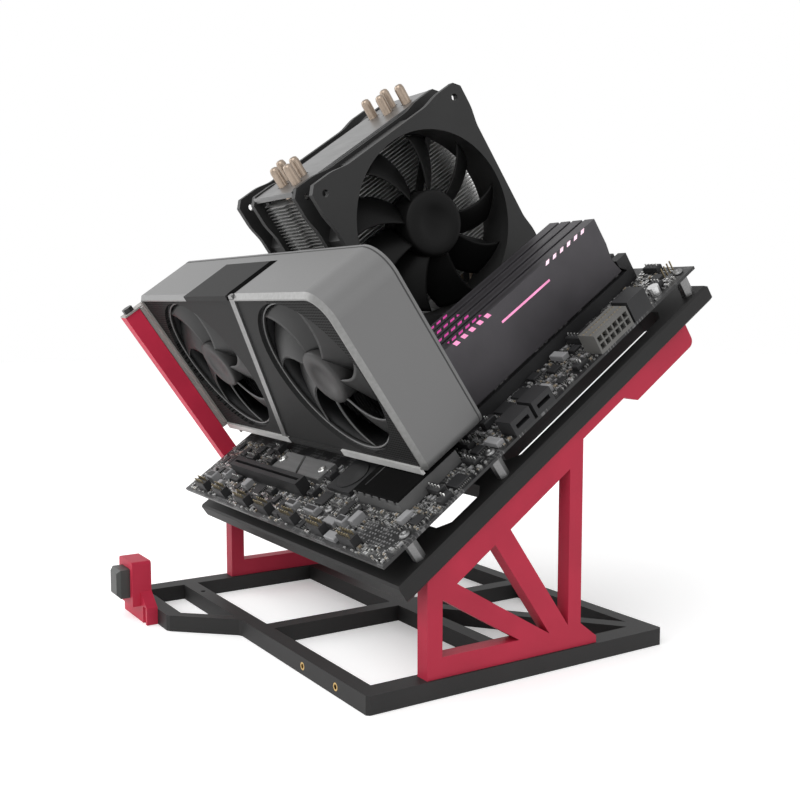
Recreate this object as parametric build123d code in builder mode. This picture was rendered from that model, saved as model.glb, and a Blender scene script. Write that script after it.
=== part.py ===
from build123d import *
import os
from math import cos, radians, sin

# Open air test bench: a printed base, two truss brackets and a tilted tray that carry a
# main board, a tower cooler with two fans, memory and a graphics card. Millimetres, +Z up,
# +X along the front bar, origin on the floor below the crossing of the base's two inner bars.

# Fits
fit_gap = 0.1
run_gap = 0.05
slide_gap = 0.3

# Base frame
base_width = 240.0
base_depth = 190.0
base_height = 9.2
side_bar = 12.0
end_bar = 9.0
middle_bar = 9.5
cross_bar = 9.0
brace_width = 9.0
base_corner_bevel = 1.5
loop_reach = 32.5
loop_bar = 8.5
loop_slant_bar = 9.0
loop_root = 100.5
loop_end = 70.0
pin_hole_radius = 1.5
pin_hole_margin = 33.0

# Threaded inserts in the front bar
insert_radius = 2.1
insert_bore_radius = 1.25
insert_length = 6.0
insert_height = 4.5
insert_margin = (64.3, 30.0)
insert_sides = 12

# Slope that the board lies on, measured at the board's lower edge and lower face
tilt = 35.0
board_edge_y = -85.8
board_edge_z = 67.0

# Tray
tray_length = 246.5
tray_start = 0.5
tray_thickness = 9.6
tray_rail = 9.0
tray_bevel = 1.2
tray_inner_rail = 9.5
tray_slot_width = 16.5
tray_opening_bevel = 6.0
tray_row_margin = 10.0
tray_lower_margin = 19.0
tray_upper_margin = 17.0

# Brackets
bracket_thickness = 8.5
bracket_inset = 1.4
bracket_front_y = -61.0
bracket_rear_y = 35.8
bracket_toe = 11.2
bracket_toe_height = 12.2
bracket_toe_lip = 3.6
bracket_post = 8.7
bracket_foot_rail = 10.3
bracket_top_rail = 12.6
bracket_neck = 5.4
pad_thickness = 12.6
pad_start = 171.0
pad_end = 222.5
pad_ramp = 7.0
pad_round = 4.0
strut_start = 55.0
strut_width = 11.5
slant_start = 27.0
slant_width = 10.0
tenon_length = 7.0
tenon_width = 4.5
tenon_depth = 5.0
tray_tenons = (30.0, 197.0)

# Card post
post_width = 9.2
post_depth = 11.0
post_start = 37.0
post_gap = 19.0
post_top = 110.5
post_gusset = 8.0

# Power button and its housing
housing_margin = 32.0
housing_width = 24.0
housing_depth = 11.5
housing_bottom = 9.4
housing_top = 35.8
housing_round = 2.0
housing_wall = 2.5
foot_left = 19.0
foot_right = 22.0
foot_depth = 6.5
foot_height = 10.0
foot_shoulder = 8.0
foot_notch_radius = 2.2
foot_notch_reach = 17.5
button_width = 15.0
button_height = 17.0
button_z = 22.5
button_reach = 7.5
button_bevel = 2.0
button_flange = 1.7
button_flange_thickness = 2.0
button_travel = 1.8
switch_plate = 3.0
switch_side = 6.0

# Main board and its standoffs
board_width = 244.0
board_length = 244.0
board_right_x = 120.0
board_thickness = 1.6
standoff_height = 12.5
standoff_flats = 6.0
standoff_columns = (-113.8, 41.0, 113.5)
standoff_rows = (20.0, 81.0, 237.6)

# Processor and socket
cpu_x = -41.0
cpu_u = 182.0
cpu_side = 37.4
cpu_lid_side = 31.0
cpu_substrate = 2.4
cpu_lid = 2.0
socket_wall = 6.0
socket_height = 3.4

# Memory
memory_count = 4
memory_x = 81.2
memory_pitch = 9.8
memory_start = 93.4
memory_length = 133.4
memory_board_thickness = 1.3
memory_board_height = 29.0
memory_slot_width = 7.2
memory_slot_height = 7.2
memory_slot_end = 4.6
memory_seat = 2.6
spreader_thickness = 7.6
spreader_lift = 9.6
spreader_height = 35.4
spreader_notch = 3.0
spreader_waist = 19.0
light_width = 2.6
light_height = 3.0
light_margin = 14.0
latch_length = 4.2
latch_height = 16.0
latch_width = 6.2

# Card slots
card_slot_x = -82.0
card_slot_length = 89.0
card_slot_width = 7.5
card_slot_height = 9.4
card_slot_seat = 2.4
second_slot_drop = 61.0

# Graphics card
card_left_x = -138.0
card_length = 243.0
card_front = 50.5
card_bottom = 11.5
card_height = 105.5
card_frame_depth = 33.0
card_wall = 3.2
card_round = 16.0
card_lower_round = 6.0
card_left_round = 4.0
card_end_margin = 9.0
card_strip = 5.5
card_edge_bevel = 2.4
card_gap_top = (-40.5, 23.1)
card_gap_bottom = (-29.5, 38.1)
card_slant_width = 4.0
card_panel_recess = 1.0
card_panel_thickness = 2.5
card_shadow_gap = 4.0
card_fan_rim = 6.3
card_fan_web = 41.2
card_fan_margin = 5.45
card_hub_radius = 16.0
card_rotor_depth = 11.0
card_back_depth = 8.5
card_back_plate = 2.4
card_board_inset = 4.0
card_board_thickness = 1.6
card_fin_depth = 15.0
card_fin_base = 3.0
card_fin_thickness = 1.6
card_fin_count = 12
card_fin_margin = 6.0
card_boss_radius = 14.0
card_boss_sides = 12
card_boss_height = 4.1
bracket_sheet = 1.0
bracket_tongue = 12.0
port_width = 17.0
port_height = 6.0
port_count = 4
vent_width = 3.4
vent_length = 14.0
vent_count = 6
card_screw_radius = 1.5
card_screw_head_radius = 3.6
card_screw_head_sides = 6
card_screw_head = 3.0
card_screw_length = 9.0

# Cooler
cooler_base_width = 36.0
cooler_base_length = 38.0
cooler_base_height = 12.0
pipe_radius = 3.0
pipe_pitch = 8.5
pipe_count = 4
pipe_leg = 41.0
pipe_zigzag = 5.0
pipe_bend = 14.0
pipe_sides = 8
pipe_floor = 2.0
pipe_tip_bevel = 1.2
fin_depth = 50.0
fin_length = 116.0
fin_thickness = 0.6
fin_pitch = 5.3
fin_count = 19
fin_bottom = 33.0
top_plate = 3.0
pipe_stand_out = 12.0
arch_width = 48.0
arch_leg = 4.0
arch_bar = 3.0
arch_length = 12.0

# Cooler fans
fan_hole_pitch = 105.0
fan_hole_margin = 7.5
fan_side = fan_hole_pitch + 2 * fan_hole_margin
fan_recess = 4.0
fan_ear = 16.0
fan_ear_bevel = 4.0
fan_depth = 25.0
fan_bore = 53.6
fan_wall = 3.4
fan_flange = 4.0
fan_hole_radius = 2.2
small_hole_sides = 8
fan_lift = 17.5
fan_hub_radius = 19.5
fan_strut = 4.0
fan_plate = 3.0
fan_blades = 9
card_fan_blades = 7
shaft_radius = 1.5
tip_gap = 0.9
hub_cap = 1.0
hub_sides_per_blade = 3
blade_thickness = 1.3
blade_camber = 0.07
blade_sink = 1.5
fan_blade_chord = 29.0
fan_blade_pitch = 36.0
fan_blade_root = 13.0
fan_blade_tip = 25.0
fan_blade_lean = 5.0
card_blade_chord = 28.0
card_blade_pitch = 20.0
card_blade_root = 12.0
card_blade_tip = 24.0
card_blade_lean = 4.0
card_ring_wall = 1.6
card_ring_depth = 3.4
card_ring_sides = 35

# Parts on the board, each as spans in x, u and height
chipset_x = (57.0, 100.0)
chipset_u = (31.0, 72.0)
chipset_height = 7.4
chipset_groove = 2.0
drive_cover_x = (-62.0, 22.0)
drive_cover_u = (58.0, 80.0)
drive_cover_height = 5.0
side_sink_x = (-105.0, -94.0)
side_sink_u = (126.0, 222.0)
side_sink_height = 26.0
top_sink_x = (-84.0, 0.0)
top_sink_u = (232.0, 242.0)
top_sink_height = 13.0
sink_groove = 2.5
sink_rib = 4.5
port_block_depth = 20.0
port_block_overhang = 3.0
usb_u = (110.0, 132.0, 154.0)
usb_width = 15.0
usb_height = 16.0
usb_mouths = 2
usb_mouth_width = 12.4
usb_mouth_height = 5.4
usb_mouth_depth = 9.0
jack_u = (176.0, 190.0, 204.0)
jack_width = 12.0
jack_height = 12.0
jack_radius = 1.9
edge_socket_depth = 12.0
power_socket_u = (163.0, 190.0)
power_socket_height = 11.4
power_pocket = 3.2
power_pocket_pitch = 4.2
power_pocket_depth = 6.0
usb_header_u = (191.5, 206.0)
usb_header_height = 12.4
sata_u = (102.0, 118.0)
sata_width = 14.0
sata_height = 8.4
sata_slot = 2.4
cpu_power_x = (-108.0, -98.0)
cpu_power_u = (226.0, 241.0)
cpu_power_height = 11.0
header_u = 6.0
header_x = (-100.0, -72.0, -40.0, -12.0, 20.0, 52.0, 84.0)
header_length = 14.0
header_width = 5.2
header_height = 6.0
capacitor_places = ((111.5, 209.5), (113.5, 217.5))
capacitor_radius = 3.2
capacitor_sides = 12
capacitor_height = 5.0
choke_x = -81.0
choke_u = (136.0, 150.0, 164.0, 178.0, 192.0, 206.0)
choke_side = 8.0
choke_height = 7.0
cell_x = 34.0
cell_u = 44.0
cell_radius = 10.0
cell_sides = 32
cell_height = 3.2
cell_holder_wall = 2.0
cell_holder_height = 2.6

# Frame of the slope: x across, u up the slope, n off the board
cos_tilt = cos(radians(tilt))
sin_tilt = sin(radians(tilt))
slope = Plane(origin=(0, board_edge_y, board_edge_z), x_dir=(1, 0, 0), z_dir=(0, -sin_tilt, cos_tilt))


def across(x):
    """Plane across the slope at x, drawn in u and n, facing +X."""
    return Plane(origin=slope.from_local_coords((x, 0, 0)), x_dir=slope.y_dir, z_dir=slope.x_dir)


def facing(u):
    """Plane square to the slope at u, drawn in x and n, facing down the slope."""
    return Plane(origin=slope.from_local_coords((0, u, 0)), x_dir=slope.x_dir, z_dir=-slope.y_dir)


def side_point(u, n):
    """The y and z of a point given up the slope and off the board."""
    return (
        board_edge_y + u * cos_tilt - n * sin_tilt,
        board_edge_z + u * sin_tilt + n * cos_tilt,
    )


def height_at(y, n):
    """The z at which a line parallel to the slope, n off the board, passes y."""
    u = (y - board_edge_y + n * sin_tilt) / cos_tilt
    return side_point(u, n)[1]


def drop_to(z, u):
    """The n at which a line square to the slope at u comes down to z."""
    return (z - board_edge_z - u * sin_tilt) / cos_tilt


def slab(x, u, n, mode=Mode.ADD, corner=0):
    """Add or cut a block that spans x, u and n, with bevelled upright corners if asked."""
    with BuildSketch(slope.offset(n[0])) as footprint:
        with Locations(((x[0] + x[1]) / 2, (u[0] + u[1]) / 2)):
            Rectangle(x[1] - x[0], u[1] - u[0])
        if corner:
            chamfer(footprint.vertices(), corner)
    extrude(footprint.sketch, amount=n[1] - n[0], mode=mode)


def centred(middle, size):
    """The pair of limits of a span about its middle."""
    return (middle - size / 2, middle + size / 2)


def finish(builder, name):
    """Label a finished piece and write it out."""
    builder.part.label = name
    export_step(builder.part, f"parts/{name}.step")


os.makedirs("parts", exist_ok=True)

# Places worked out from the sizes above
tray_width = base_width
base_front_y = -base_depth / 2
base_left_x = -base_width / 2
loop_front_y = base_front_y - loop_reach
tray_top = -standoff_height
tray_bottom = tray_top - tray_thickness
tray_end = tray_start + tray_length
bracket_outer_x = tray_width / 2 - bracket_inset
bracket_middle_x = bracket_outer_x - bracket_thickness / 2
bracket_inner_front_y = bracket_front_y + bracket_post
bracket_inner_rear_y = bracket_rear_y - bracket_post
board_left_x = board_right_x - board_width
board_top = board_thickness
cpu_top = board_top + cpu_substrate + cpu_lid
base_tenons_y = (bracket_front_y + bracket_post / 2, bracket_rear_y - bracket_post / 2)

# Base frame
open_left = middle_bar / 2
open_right = base_width / 2 - side_bar
open_near = base_front_y + end_bar
open_far = base_depth / 2 - end_bar
loop_near = loop_front_y + loop_bar
loop_left = base_left_x + side_bar
loop_root_x = base_left_x + loop_root
loop_end_x = base_left_x + loop_end
slant_run = (loop_end_x - loop_root_x) / loop_reach
insert_places = [(base_width / 2 - margin, insert_height) for margin in insert_margin]
brace_run = Vector(open_right + side_bar / 2, open_far + end_bar / 2)
brace_side = brace_run.normalized().rotate(Axis.Z, 90) * (brace_width / 2)

with BuildPart() as base_frame:
    with BuildSketch() as plan:
        Polygon(
            (base_left_x, loop_front_y),
            (loop_end_x, loop_front_y),
            (loop_root_x, base_front_y),
            (base_width / 2, base_front_y),
            (base_width / 2, base_depth / 2),
            (base_left_x, base_depth / 2),
            align=None,
        )
        for side in (-1, 1):
            half_x = side * (open_left + open_right) / 2
            with Locations((half_x, (open_near - cross_bar / 2) / 2)):
                Rectangle(open_right - open_left, -cross_bar / 2 - open_near, mode=Mode.SUBTRACT)
            with Locations((half_x, (open_far + cross_bar / 2) / 2)):
                Rectangle(open_right - open_left, open_far - cross_bar / 2, mode=Mode.SUBTRACT)
        for side in (-1, 1):
            Polygon(
                (side * brace_side.X, brace_side.Y),
                (-side * brace_side.X, -brace_side.Y),
                (side * (brace_run.X - brace_side.X), brace_run.Y - brace_side.Y),
                (side * (brace_run.X + brace_side.X), brace_run.Y + brace_side.Y),
                align=None,
            )
        Polygon(
            (loop_left, base_front_y),
            (loop_left, loop_near),
            (loop_root_x - loop_slant_bar + slant_run * (loop_reach - loop_bar), loop_near),
            (loop_root_x - loop_slant_bar, base_front_y),
            align=None,
            mode=Mode.SUBTRACT,
        )
        chamfer(plan.face().outer_wire().vertices(), base_corner_bevel)
    extrude(amount=base_height)
    with BuildSketch(Plane.XZ.offset(-base_front_y)):
        with Locations(*insert_places):
            RegularPolygon(insert_radius + fit_gap, insert_sides)
    extrude(amount=-insert_length, mode=Mode.SUBTRACT)
    with BuildSketch():
        with Locations((base_left_x + pin_hole_margin, base_front_y + end_bar / 2)):
            Circle(pin_hole_radius)
    extrude(amount=base_height, mode=Mode.SUBTRACT)
    with BuildSketch(Plane.XY.offset(base_height)):
        with Locations(*[(s * bracket_middle_x, y) for s in (-1, 1) for y in base_tenons_y]):
            Rectangle(tenon_width + 2 * fit_gap, tenon_length + 2 * fit_gap)
    extrude(amount=-tenon_depth - fit_gap, mode=Mode.SUBTRACT)
finish(base_frame, "base_frame")

with BuildPart() as front_inserts:
    with BuildSketch(Plane.XZ.offset(-base_front_y)):
        with Locations(*insert_places):
            RegularPolygon(insert_radius, insert_sides)
            Circle(insert_bore_radius, mode=Mode.SUBTRACT)
    extrude(amount=-insert_length)
finish(front_inserts, "front_inserts")

# Brackets: a truss with three windows, tenons below and above
foot_rail_top = base_height + bracket_foot_rail
top_rail_under = tray_bottom - bracket_top_rail
neck_under = tray_bottom - bracket_neck
pad_under = tray_bottom - pad_thickness
bracket_toe_y = bracket_rear_y + bracket_toe
strut_foot = side_point(strut_start, drop_to(foot_rail_top, strut_start))
slant_head = side_point(slant_start, top_rail_under)
slant_rise = (slant_head[1] - strut_foot[1]) / (slant_head[0] - strut_foot[0])
slant_drop = slant_width * (1 + slant_rise**2) ** 0.5
lower_window_top = slant_head[1] + slant_rise * (bracket_inner_front_y - slant_head[0]) - slant_drop
lower_window_end = strut_foot[0] + slant_drop / slant_rise
strut_end = strut_start + strut_width
upper_window_n = (board_edge_y + strut_end * cos_tilt - bracket_inner_rear_y) / sin_tilt
pad_corner = side_point(pad_end, pad_under)

with BuildPart() as right_bracket:
    with BuildSketch(Plane.YZ.offset(bracket_outer_x - bracket_thickness)) as profile:
        Polygon(
            (bracket_front_y, base_height),
            (bracket_front_y, height_at(bracket_front_y, tray_bottom)),
            side_point(pad_end, tray_bottom),
            pad_corner,
            side_point(pad_start, pad_under),
            side_point(pad_start - pad_ramp, neck_under),
            (bracket_rear_y, height_at(bracket_rear_y, neck_under)),
            (bracket_rear_y, base_height + bracket_toe_height),
            (bracket_toe_y, base_height + bracket_toe_lip),
            (bracket_toe_y, base_height),
            align=None,
        )
        fillet(profile.vertices().sort_by_distance(pad_corner)[0], pad_round)
    extrude(amount=bracket_thickness)
    for window in (
        (
            (bracket_inner_front_y, foot_rail_top),
            (bracket_inner_front_y, lower_window_top),
            (lower_window_end, foot_rail_top),
        ),
        (strut_foot, slant_head, side_point(strut_start, top_rail_under)),
        (
            side_point(strut_end, top_rail_under),
            (bracket_inner_rear_y, height_at(bracket_inner_rear_y, top_rail_under)),
            side_point(strut_end, upper_window_n),
        ),
    ):
        with BuildSketch(Plane.YZ.offset(bracket_outer_x - bracket_thickness)):
            Polygon(*window, align=None)
        extrude(amount=bracket_thickness, mode=Mode.SUBTRACT)
    with BuildSketch(Plane.XY.offset(base_height)):
        with Locations(*[(bracket_middle_x, y) for y in base_tenons_y]):
            Rectangle(tenon_width, tenon_length)
    extrude(amount=-tenon_depth)
    with BuildSketch(slope.offset(tray_bottom)):
        with Locations(*[(bracket_middle_x, u) for u in tray_tenons]):
            Rectangle(tenon_width, tenon_length)
    extrude(amount=tenon_depth)
finish(right_bracket, "right_bracket")

with BuildPart() as left_bracket:
    add(right_bracket.part)
    mirror(about=Plane.YZ, mode=Mode.REPLACE)
finish(left_bracket, "left_bracket")

# Tray: an open frame with bars under the rows of standoffs
tray_inner_x = tray_width / 2 - tray_rail
tray_slot_x = tray_inner_x - tray_slot_width
tray_core_x = tray_slot_x - tray_inner_rail
wide_opening = (standoff_rows[0] + tray_lower_margin, standoff_rows[1] - tray_row_margin)
long_opening = (standoff_rows[1] + tray_row_margin, standoff_rows[2] - tray_upper_margin)
core_opening = (long_opening[0] + tray_inner_rail, long_opening[1] - tray_inner_rail)
post_middle_u = post_start + post_depth / 2
tray_middle_n = (tray_top + tray_bottom) / 2

with BuildPart() as board_tray:
    slab((-tray_width / 2, tray_width / 2), (tray_start, tray_end), (tray_bottom, tray_top))
    rims = board_tray.faces().filter_by(slope).edges()
    chamfer(rims, tray_bevel)
    through = (tray_bottom, tray_top)
    slab((-tray_inner_x, tray_inner_x), wide_opening, through, Mode.SUBTRACT, tray_opening_bevel)
    for side in (-1, 1):
        slot_x = sorted((side * tray_slot_x, side * tray_inner_x))
        slab(slot_x, long_opening, through, Mode.SUBTRACT, tray_opening_bevel)
        core_x = sorted((side * tray_inner_rail / 2, side * tray_core_x))
        slab(core_x, core_opening, through, Mode.SUBTRACT, tray_opening_bevel)
        for u in tray_tenons:
            slab(
                centred(side * bracket_middle_x, tenon_width + 2 * fit_gap),
                centred(u, tenon_length + 2 * fit_gap),
                (tray_bottom, tray_bottom + tenon_depth + fit_gap),
                Mode.SUBTRACT,
            )
    slab(
        (-tray_width / 2, -tray_width / 2 + tenon_depth + fit_gap),
        centred(post_middle_u, tenon_length + 2 * fit_gap),
        centred(tray_middle_n, tenon_width + 2 * fit_gap),
        Mode.SUBTRACT,
    )
finish(board_tray, "board_tray")

# Card post: an upright bar on a foot that plugs into the tray's left side
post_inner_x = -tray_width / 2 - post_gap
post_outer_x = post_inner_x - post_width
post_middle_x = (post_inner_x + post_outer_x) / 2

with BuildPart() as card_post:
    with BuildSketch(facing(post_start + post_depth)) as profile:
        Polygon(
            (post_outer_x, tray_bottom),
            (-tray_width / 2, tray_bottom),
            (-tray_width / 2, tray_top),
            (post_inner_x, tray_top),
            (post_inner_x, post_top),
            (post_outer_x, post_top),
            align=None,
        )
        fillet(profile.vertices().sort_by_distance((post_inner_x, tray_top))[0], post_gusset)
    extrude(amount=post_depth)
    slab(
        (-tray_width / 2, -tray_width / 2 + tenon_depth),
        centred(post_middle_u, tenon_length),
        centred(tray_middle_n, tenon_width),
    )
    with BuildSketch(slope.offset(post_top)):
        with Locations((post_middle_x, post_middle_u)):
            Circle(card_screw_radius + fit_gap)
    extrude(amount=-card_screw_length, mode=Mode.SUBTRACT)
finish(card_post, "card_post")

# Button housing: a foot on the loop's front bar and a box with a square mouth
housing_x = base_left_x + housing_margin
housing_front_y = loop_front_y - housing_depth
housing_left = housing_x - housing_width / 2
housing_right = housing_x + housing_width / 2
front_wall_y = housing_front_y + housing_wall
flange_width = button_width + 2 * button_flange
flange_height = button_height + 2 * button_flange
mouth_y = Plane.XZ.offset(-housing_front_y)

with BuildPart() as button_housing:
    with BuildSketch(Plane.XZ.offset(-loop_front_y)):
        Polygon(
            (housing_x - foot_left, 0),
            (housing_x + foot_right, 0),
            (housing_x + foot_right, foot_height),
            (housing_right, foot_height + foot_shoulder),
            (housing_left, foot_height + foot_shoulder),
            (housing_x - foot_left, foot_height),
            align=None,
        )
    extrude(amount=foot_depth)
    with BuildSketch(Plane.XZ.offset(-loop_front_y)):
        with Locations((housing_x, (housing_bottom + housing_top) / 2)):
            Rectangle(housing_width, housing_top - housing_bottom)
    extrude(amount=housing_depth)
    fillet(button_housing.edges().filter_by(Axis.Y).group_by(Axis.Z)[-1], housing_round)
    with BuildSketch(mouth_y):
        with Locations((housing_x, button_z)):
            Rectangle(button_width + 2 * slide_gap, button_height + 2 * slide_gap)
    extrude(amount=-housing_wall, mode=Mode.SUBTRACT)
    with BuildSketch(Plane.XZ.offset(-loop_front_y)):
        with Locations((housing_x, button_z)):
            Rectangle(flange_width + 2 * slide_gap, flange_height + 2 * slide_gap)
    extrude(amount=housing_depth - housing_wall, mode=Mode.SUBTRACT)
    with BuildSketch(Plane.XY.offset(foot_height)):
        with Locations((housing_x + foot_notch_reach, loop_front_y - foot_depth)):
            Circle(foot_notch_radius)
    extrude(amount=-foot_height, mode=Mode.SUBTRACT)
finish(button_housing, "button_housing")

flange_front_y = front_wall_y + slide_gap
button_front_y = housing_front_y - button_reach

with BuildPart() as power_button:
    with BuildSketch(Plane.XZ.offset(-flange_front_y)):
        with Locations((housing_x, button_z)):
            Rectangle(flange_width, flange_height)
    extrude(amount=-button_flange_thickness)
    with BuildSketch(Plane.XZ.offset(-flange_front_y)):
        with Locations((housing_x, button_z)):
            Rectangle(button_width, button_height)
    extrude(amount=flange_front_y - button_front_y)
    chamfer(power_button.faces().sort_by(Axis.Y)[0].edges(), button_bevel)
finish(power_button, "power_button")

switch_front_y = flange_front_y + button_flange_thickness + button_travel + slide_gap

with BuildPart() as button_switch:
    with BuildSketch(Plane.XZ.offset(-loop_front_y)):
        with Locations((housing_x, button_z)):
            Rectangle(
                flange_width + 2 * slide_gap - 2 * fit_gap,
                flange_height + 2 * slide_gap - 2 * fit_gap,
            )
    extrude(amount=switch_plate)
    with BuildSketch(Plane.XZ.offset(-loop_front_y)):
        with Locations((housing_x, button_z)):
            Rectangle(switch_side, switch_side)
    extrude(amount=loop_front_y - switch_front_y)
finish(button_switch, "button_switch")

# Main board on its standoffs
standoff_places = [(x, u) for x in standoff_columns for u in standoff_rows]

with BuildPart() as board_standoffs:
    with BuildSketch(slope.offset(tray_top)):
        with Locations(*standoff_places):
            RegularPolygon(standoff_flats / 2, 6, major_radius=False)
    extrude(amount=standoff_height)
finish(board_standoffs, "board_standoffs")

with BuildPart() as main_board:
    slab((board_left_x, board_right_x), (0, board_length), (0, board_top))
finish(main_board, "main_board")

with BuildPart() as cpu_socket:
    socket_side = cpu_side + 2 * fit_gap + 2 * socket_wall
    socket_hole = cpu_side + 2 * fit_gap
    socket_n = (board_top, board_top + socket_height)
    slab(centred(cpu_x, socket_side), centred(cpu_u, socket_side), socket_n)
    slab(centred(cpu_x, socket_hole), centred(cpu_u, socket_hole), socket_n, Mode.SUBTRACT)
finish(cpu_socket, "cpu_socket")

with BuildPart() as processor:
    lid_start = board_top + cpu_substrate
    slab(centred(cpu_x, cpu_side), centred(cpu_u, cpu_side), (board_top, lid_start))
    slab(centred(cpu_x, cpu_lid_side), centred(cpu_u, cpu_lid_side), (lid_start, cpu_top))
finish(processor, "processor")

# Memory: slots, latches at the upper ends, boards, heat spreaders and light strips
memory_places = [memory_x - i * memory_pitch for i in range(memory_count)]
memory_u = (memory_start, memory_start + memory_length)
memory_bottom = board_top + memory_seat
memory_slot_top = board_top + memory_slot_height
memory_slot_u = (memory_u[0] - memory_slot_end, memory_u[1] + memory_slot_end)
memory_groove = memory_board_thickness + 2 * fit_gap
spreader_bottom = board_top + spreader_lift
spreader_top = spreader_bottom + spreader_height
memory_board_top = memory_bottom + memory_board_height

with BuildPart() as memory_slots:
    for x in memory_places:
        slab(centred(x, memory_slot_width), memory_slot_u, (board_top, memory_slot_top))
        slab(
            centred(x, memory_groove),
            (memory_u[0] - fit_gap, memory_u[1] + fit_gap),
            (memory_bottom, memory_slot_top),
            Mode.SUBTRACT,
        )
finish(memory_slots, "memory_slots")

with BuildPart() as memory_latches:
    for x in memory_places:
        with BuildSketch(across(x - latch_width / 2)):
            Polygon(
                (memory_slot_u[1], board_top),
                (memory_slot_u[1] + latch_length, board_top),
                (memory_slot_u[1] + latch_length, board_top + latch_height),
                (memory_u[1] + fit_gap, board_top + latch_height),
                (memory_u[1] + fit_gap, board_top + latch_height - latch_length),
                (memory_slot_u[1], memory_slot_top),
                align=None,
            )
        extrude(amount=latch_width)
finish(memory_latches, "memory_latches")

with BuildPart() as memory_boards:
    for x in memory_places:
        slab(centred(x, memory_board_thickness), memory_u, (memory_bottom, memory_board_top))
finish(memory_boards, "memory_boards")

with BuildPart() as memory_spreaders:
    for x in memory_places:
        with BuildSketch(across(x - spreader_thickness / 2)):
            Polygon(
                (memory_u[0], spreader_bottom),
                (memory_u[1], spreader_bottom),
                (memory_u[1] - spreader_notch, spreader_bottom + spreader_waist / 2),
                (memory_u[1] - spreader_notch / 2, spreader_bottom + spreader_waist),
                (memory_u[1] - spreader_notch / 2, spreader_top),
                (memory_u[0] + spreader_notch / 2, spreader_top),
                (memory_u[0] + spreader_notch / 2, spreader_bottom + spreader_waist),
                (memory_u[0] + spreader_notch, spreader_bottom + spreader_waist / 2),
                align=None,
            )
        extrude(amount=spreader_thickness)
        slab(
            centred(x, memory_groove),
            (memory_u[0], memory_u[1]),
            (spreader_bottom, memory_board_top + fit_gap),
            Mode.SUBTRACT,
        )
        slab(
            centred(x, light_width),
            (memory_u[0] + light_margin, memory_u[1] - light_margin),
            (spreader_top - light_height, spreader_top),
            Mode.SUBTRACT,
        )
finish(memory_spreaders, "memory_spreaders")

with BuildPart() as memory_lights:
    for x in memory_places:
        slab(
            centred(x, light_width),
            (memory_u[0] + light_margin, memory_u[1] - light_margin),
            (spreader_top - light_height, spreader_top),
        )
finish(memory_lights, "memory_lights")

# Card slots: the card's own and an empty one below it
card_back = card_front + card_frame_depth + card_back_depth
card_board_u = (card_back - card_board_inset - card_board_thickness, card_back - card_board_inset)
card_board_middle = sum(card_board_u) / 2
card_slot_end = card_slot_x + card_slot_length
card_slot_top = board_top + card_slot_height
card_edge_bottom = board_top + card_slot_seat

with BuildPart() as card_slots:
    for u in (card_board_middle, card_board_middle - second_slot_drop):
        slab((card_slot_x, card_slot_end), centred(u, card_slot_width), (board_top, card_slot_top))
        slab(
            (card_slot_x + card_slot_seat, card_slot_end - card_slot_seat),
            centred(u, card_board_thickness + 2 * fit_gap),
            (card_edge_bottom - fit_gap, card_slot_top),
            Mode.SUBTRACT,
        )
finish(card_slots, "card_slots")

# Graphics card: an S-shaped metal band, dark caps in its two gaps, a panel with two fans
card_right_x = card_left_x + card_length
card_top = card_bottom + card_height
card_middle_x = (card_left_x + card_right_x) / 2
card_middle_n = (card_bottom + card_top) / 2
card_frame_end = card_front + card_frame_depth
card_panel_u = (card_front + card_panel_recess, card_front + card_panel_recess + card_panel_thickness)
card_gap_spans = [[card_middle_x + x for x in gap] for gap in (card_gap_top, card_gap_bottom)]
card_fan_room = (card_length - 2 * card_fan_rim - card_fan_web) / 4
card_fan_bore = min(card_fan_room, card_height / 2 - card_fan_margin)
card_fan_end = card_fan_bore + card_fan_rim
card_fan_x = (card_left_x + card_fan_end, card_right_x - card_fan_end)
card_fan_places = [(x, card_middle_n) for x in card_fan_x]
card_end_window = (card_bottom + card_end_margin, card_top - card_end_margin)
card_end_inner = card_left_x + card_wall


def card_outline(inset):
    """Sketch the card's front outline, moved in by a wall."""
    with BuildSketch() as outline:
        with Locations((card_middle_x, card_middle_n)):
            Rectangle(card_length - 2 * inset, card_height - 2 * inset)
        for corner, radius in (
            ((card_left_x, card_bottom), card_left_round),
            ((card_left_x, card_top), card_left_round),
            ((card_right_x, card_bottom), card_lower_round),
            ((card_right_x, card_top), card_round),
        ):
            fillet(outline.vertices().sort_by_distance(corner)[0], radius - inset)
    return outline.sketch


def slant_bar(grow):
    """Sketch the band's slanted run from its upper gap to its lower gap."""
    head = card_gap_spans[0][1]
    foot = card_gap_spans[1][0]
    with BuildSketch() as bar:
        Polygon(
            (head - grow, card_top - grow),
            (head + card_slant_width + grow, card_top - grow),
            (head + card_slant_width + grow, card_top - card_wall),
            (foot + grow, card_bottom + grow),
            (foot - card_slant_width - grow, card_bottom + grow),
            (foot - card_slant_width - grow, card_bottom + card_wall),
            align=None,
        )
    return bar.sketch


with BuildPart() as card_frame:
    with BuildSketch(facing(card_frame_end)):
        add(card_outline(0))
    extrude(amount=card_frame_depth)
    front = card_frame.faces().sort_by(Axis(slope.origin, slope.y_dir))[0]
    chamfer(front.edges(), card_edge_bevel)
    with BuildSketch(facing(card_frame_end)):
        add(card_outline(card_wall))
        for gap, n in zip(card_gap_spans, (card_top, card_bottom)):
            with Locations((sum(gap) / 2, n)):
                Rectangle(gap[1] - gap[0], 2 * card_wall)
    extrude(amount=card_frame_depth, mode=Mode.SUBTRACT)
    with BuildSketch(facing(card_panel_u[1])):
        add(slant_bar(0))
    extrude(amount=card_panel_u[1] - card_front)
    slab(
        (card_left_x, card_end_inner),
        (card_front + card_strip, card_frame_end),
        card_end_window,
        Mode.SUBTRACT,
    )
finish(card_frame, "card_frame")

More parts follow.
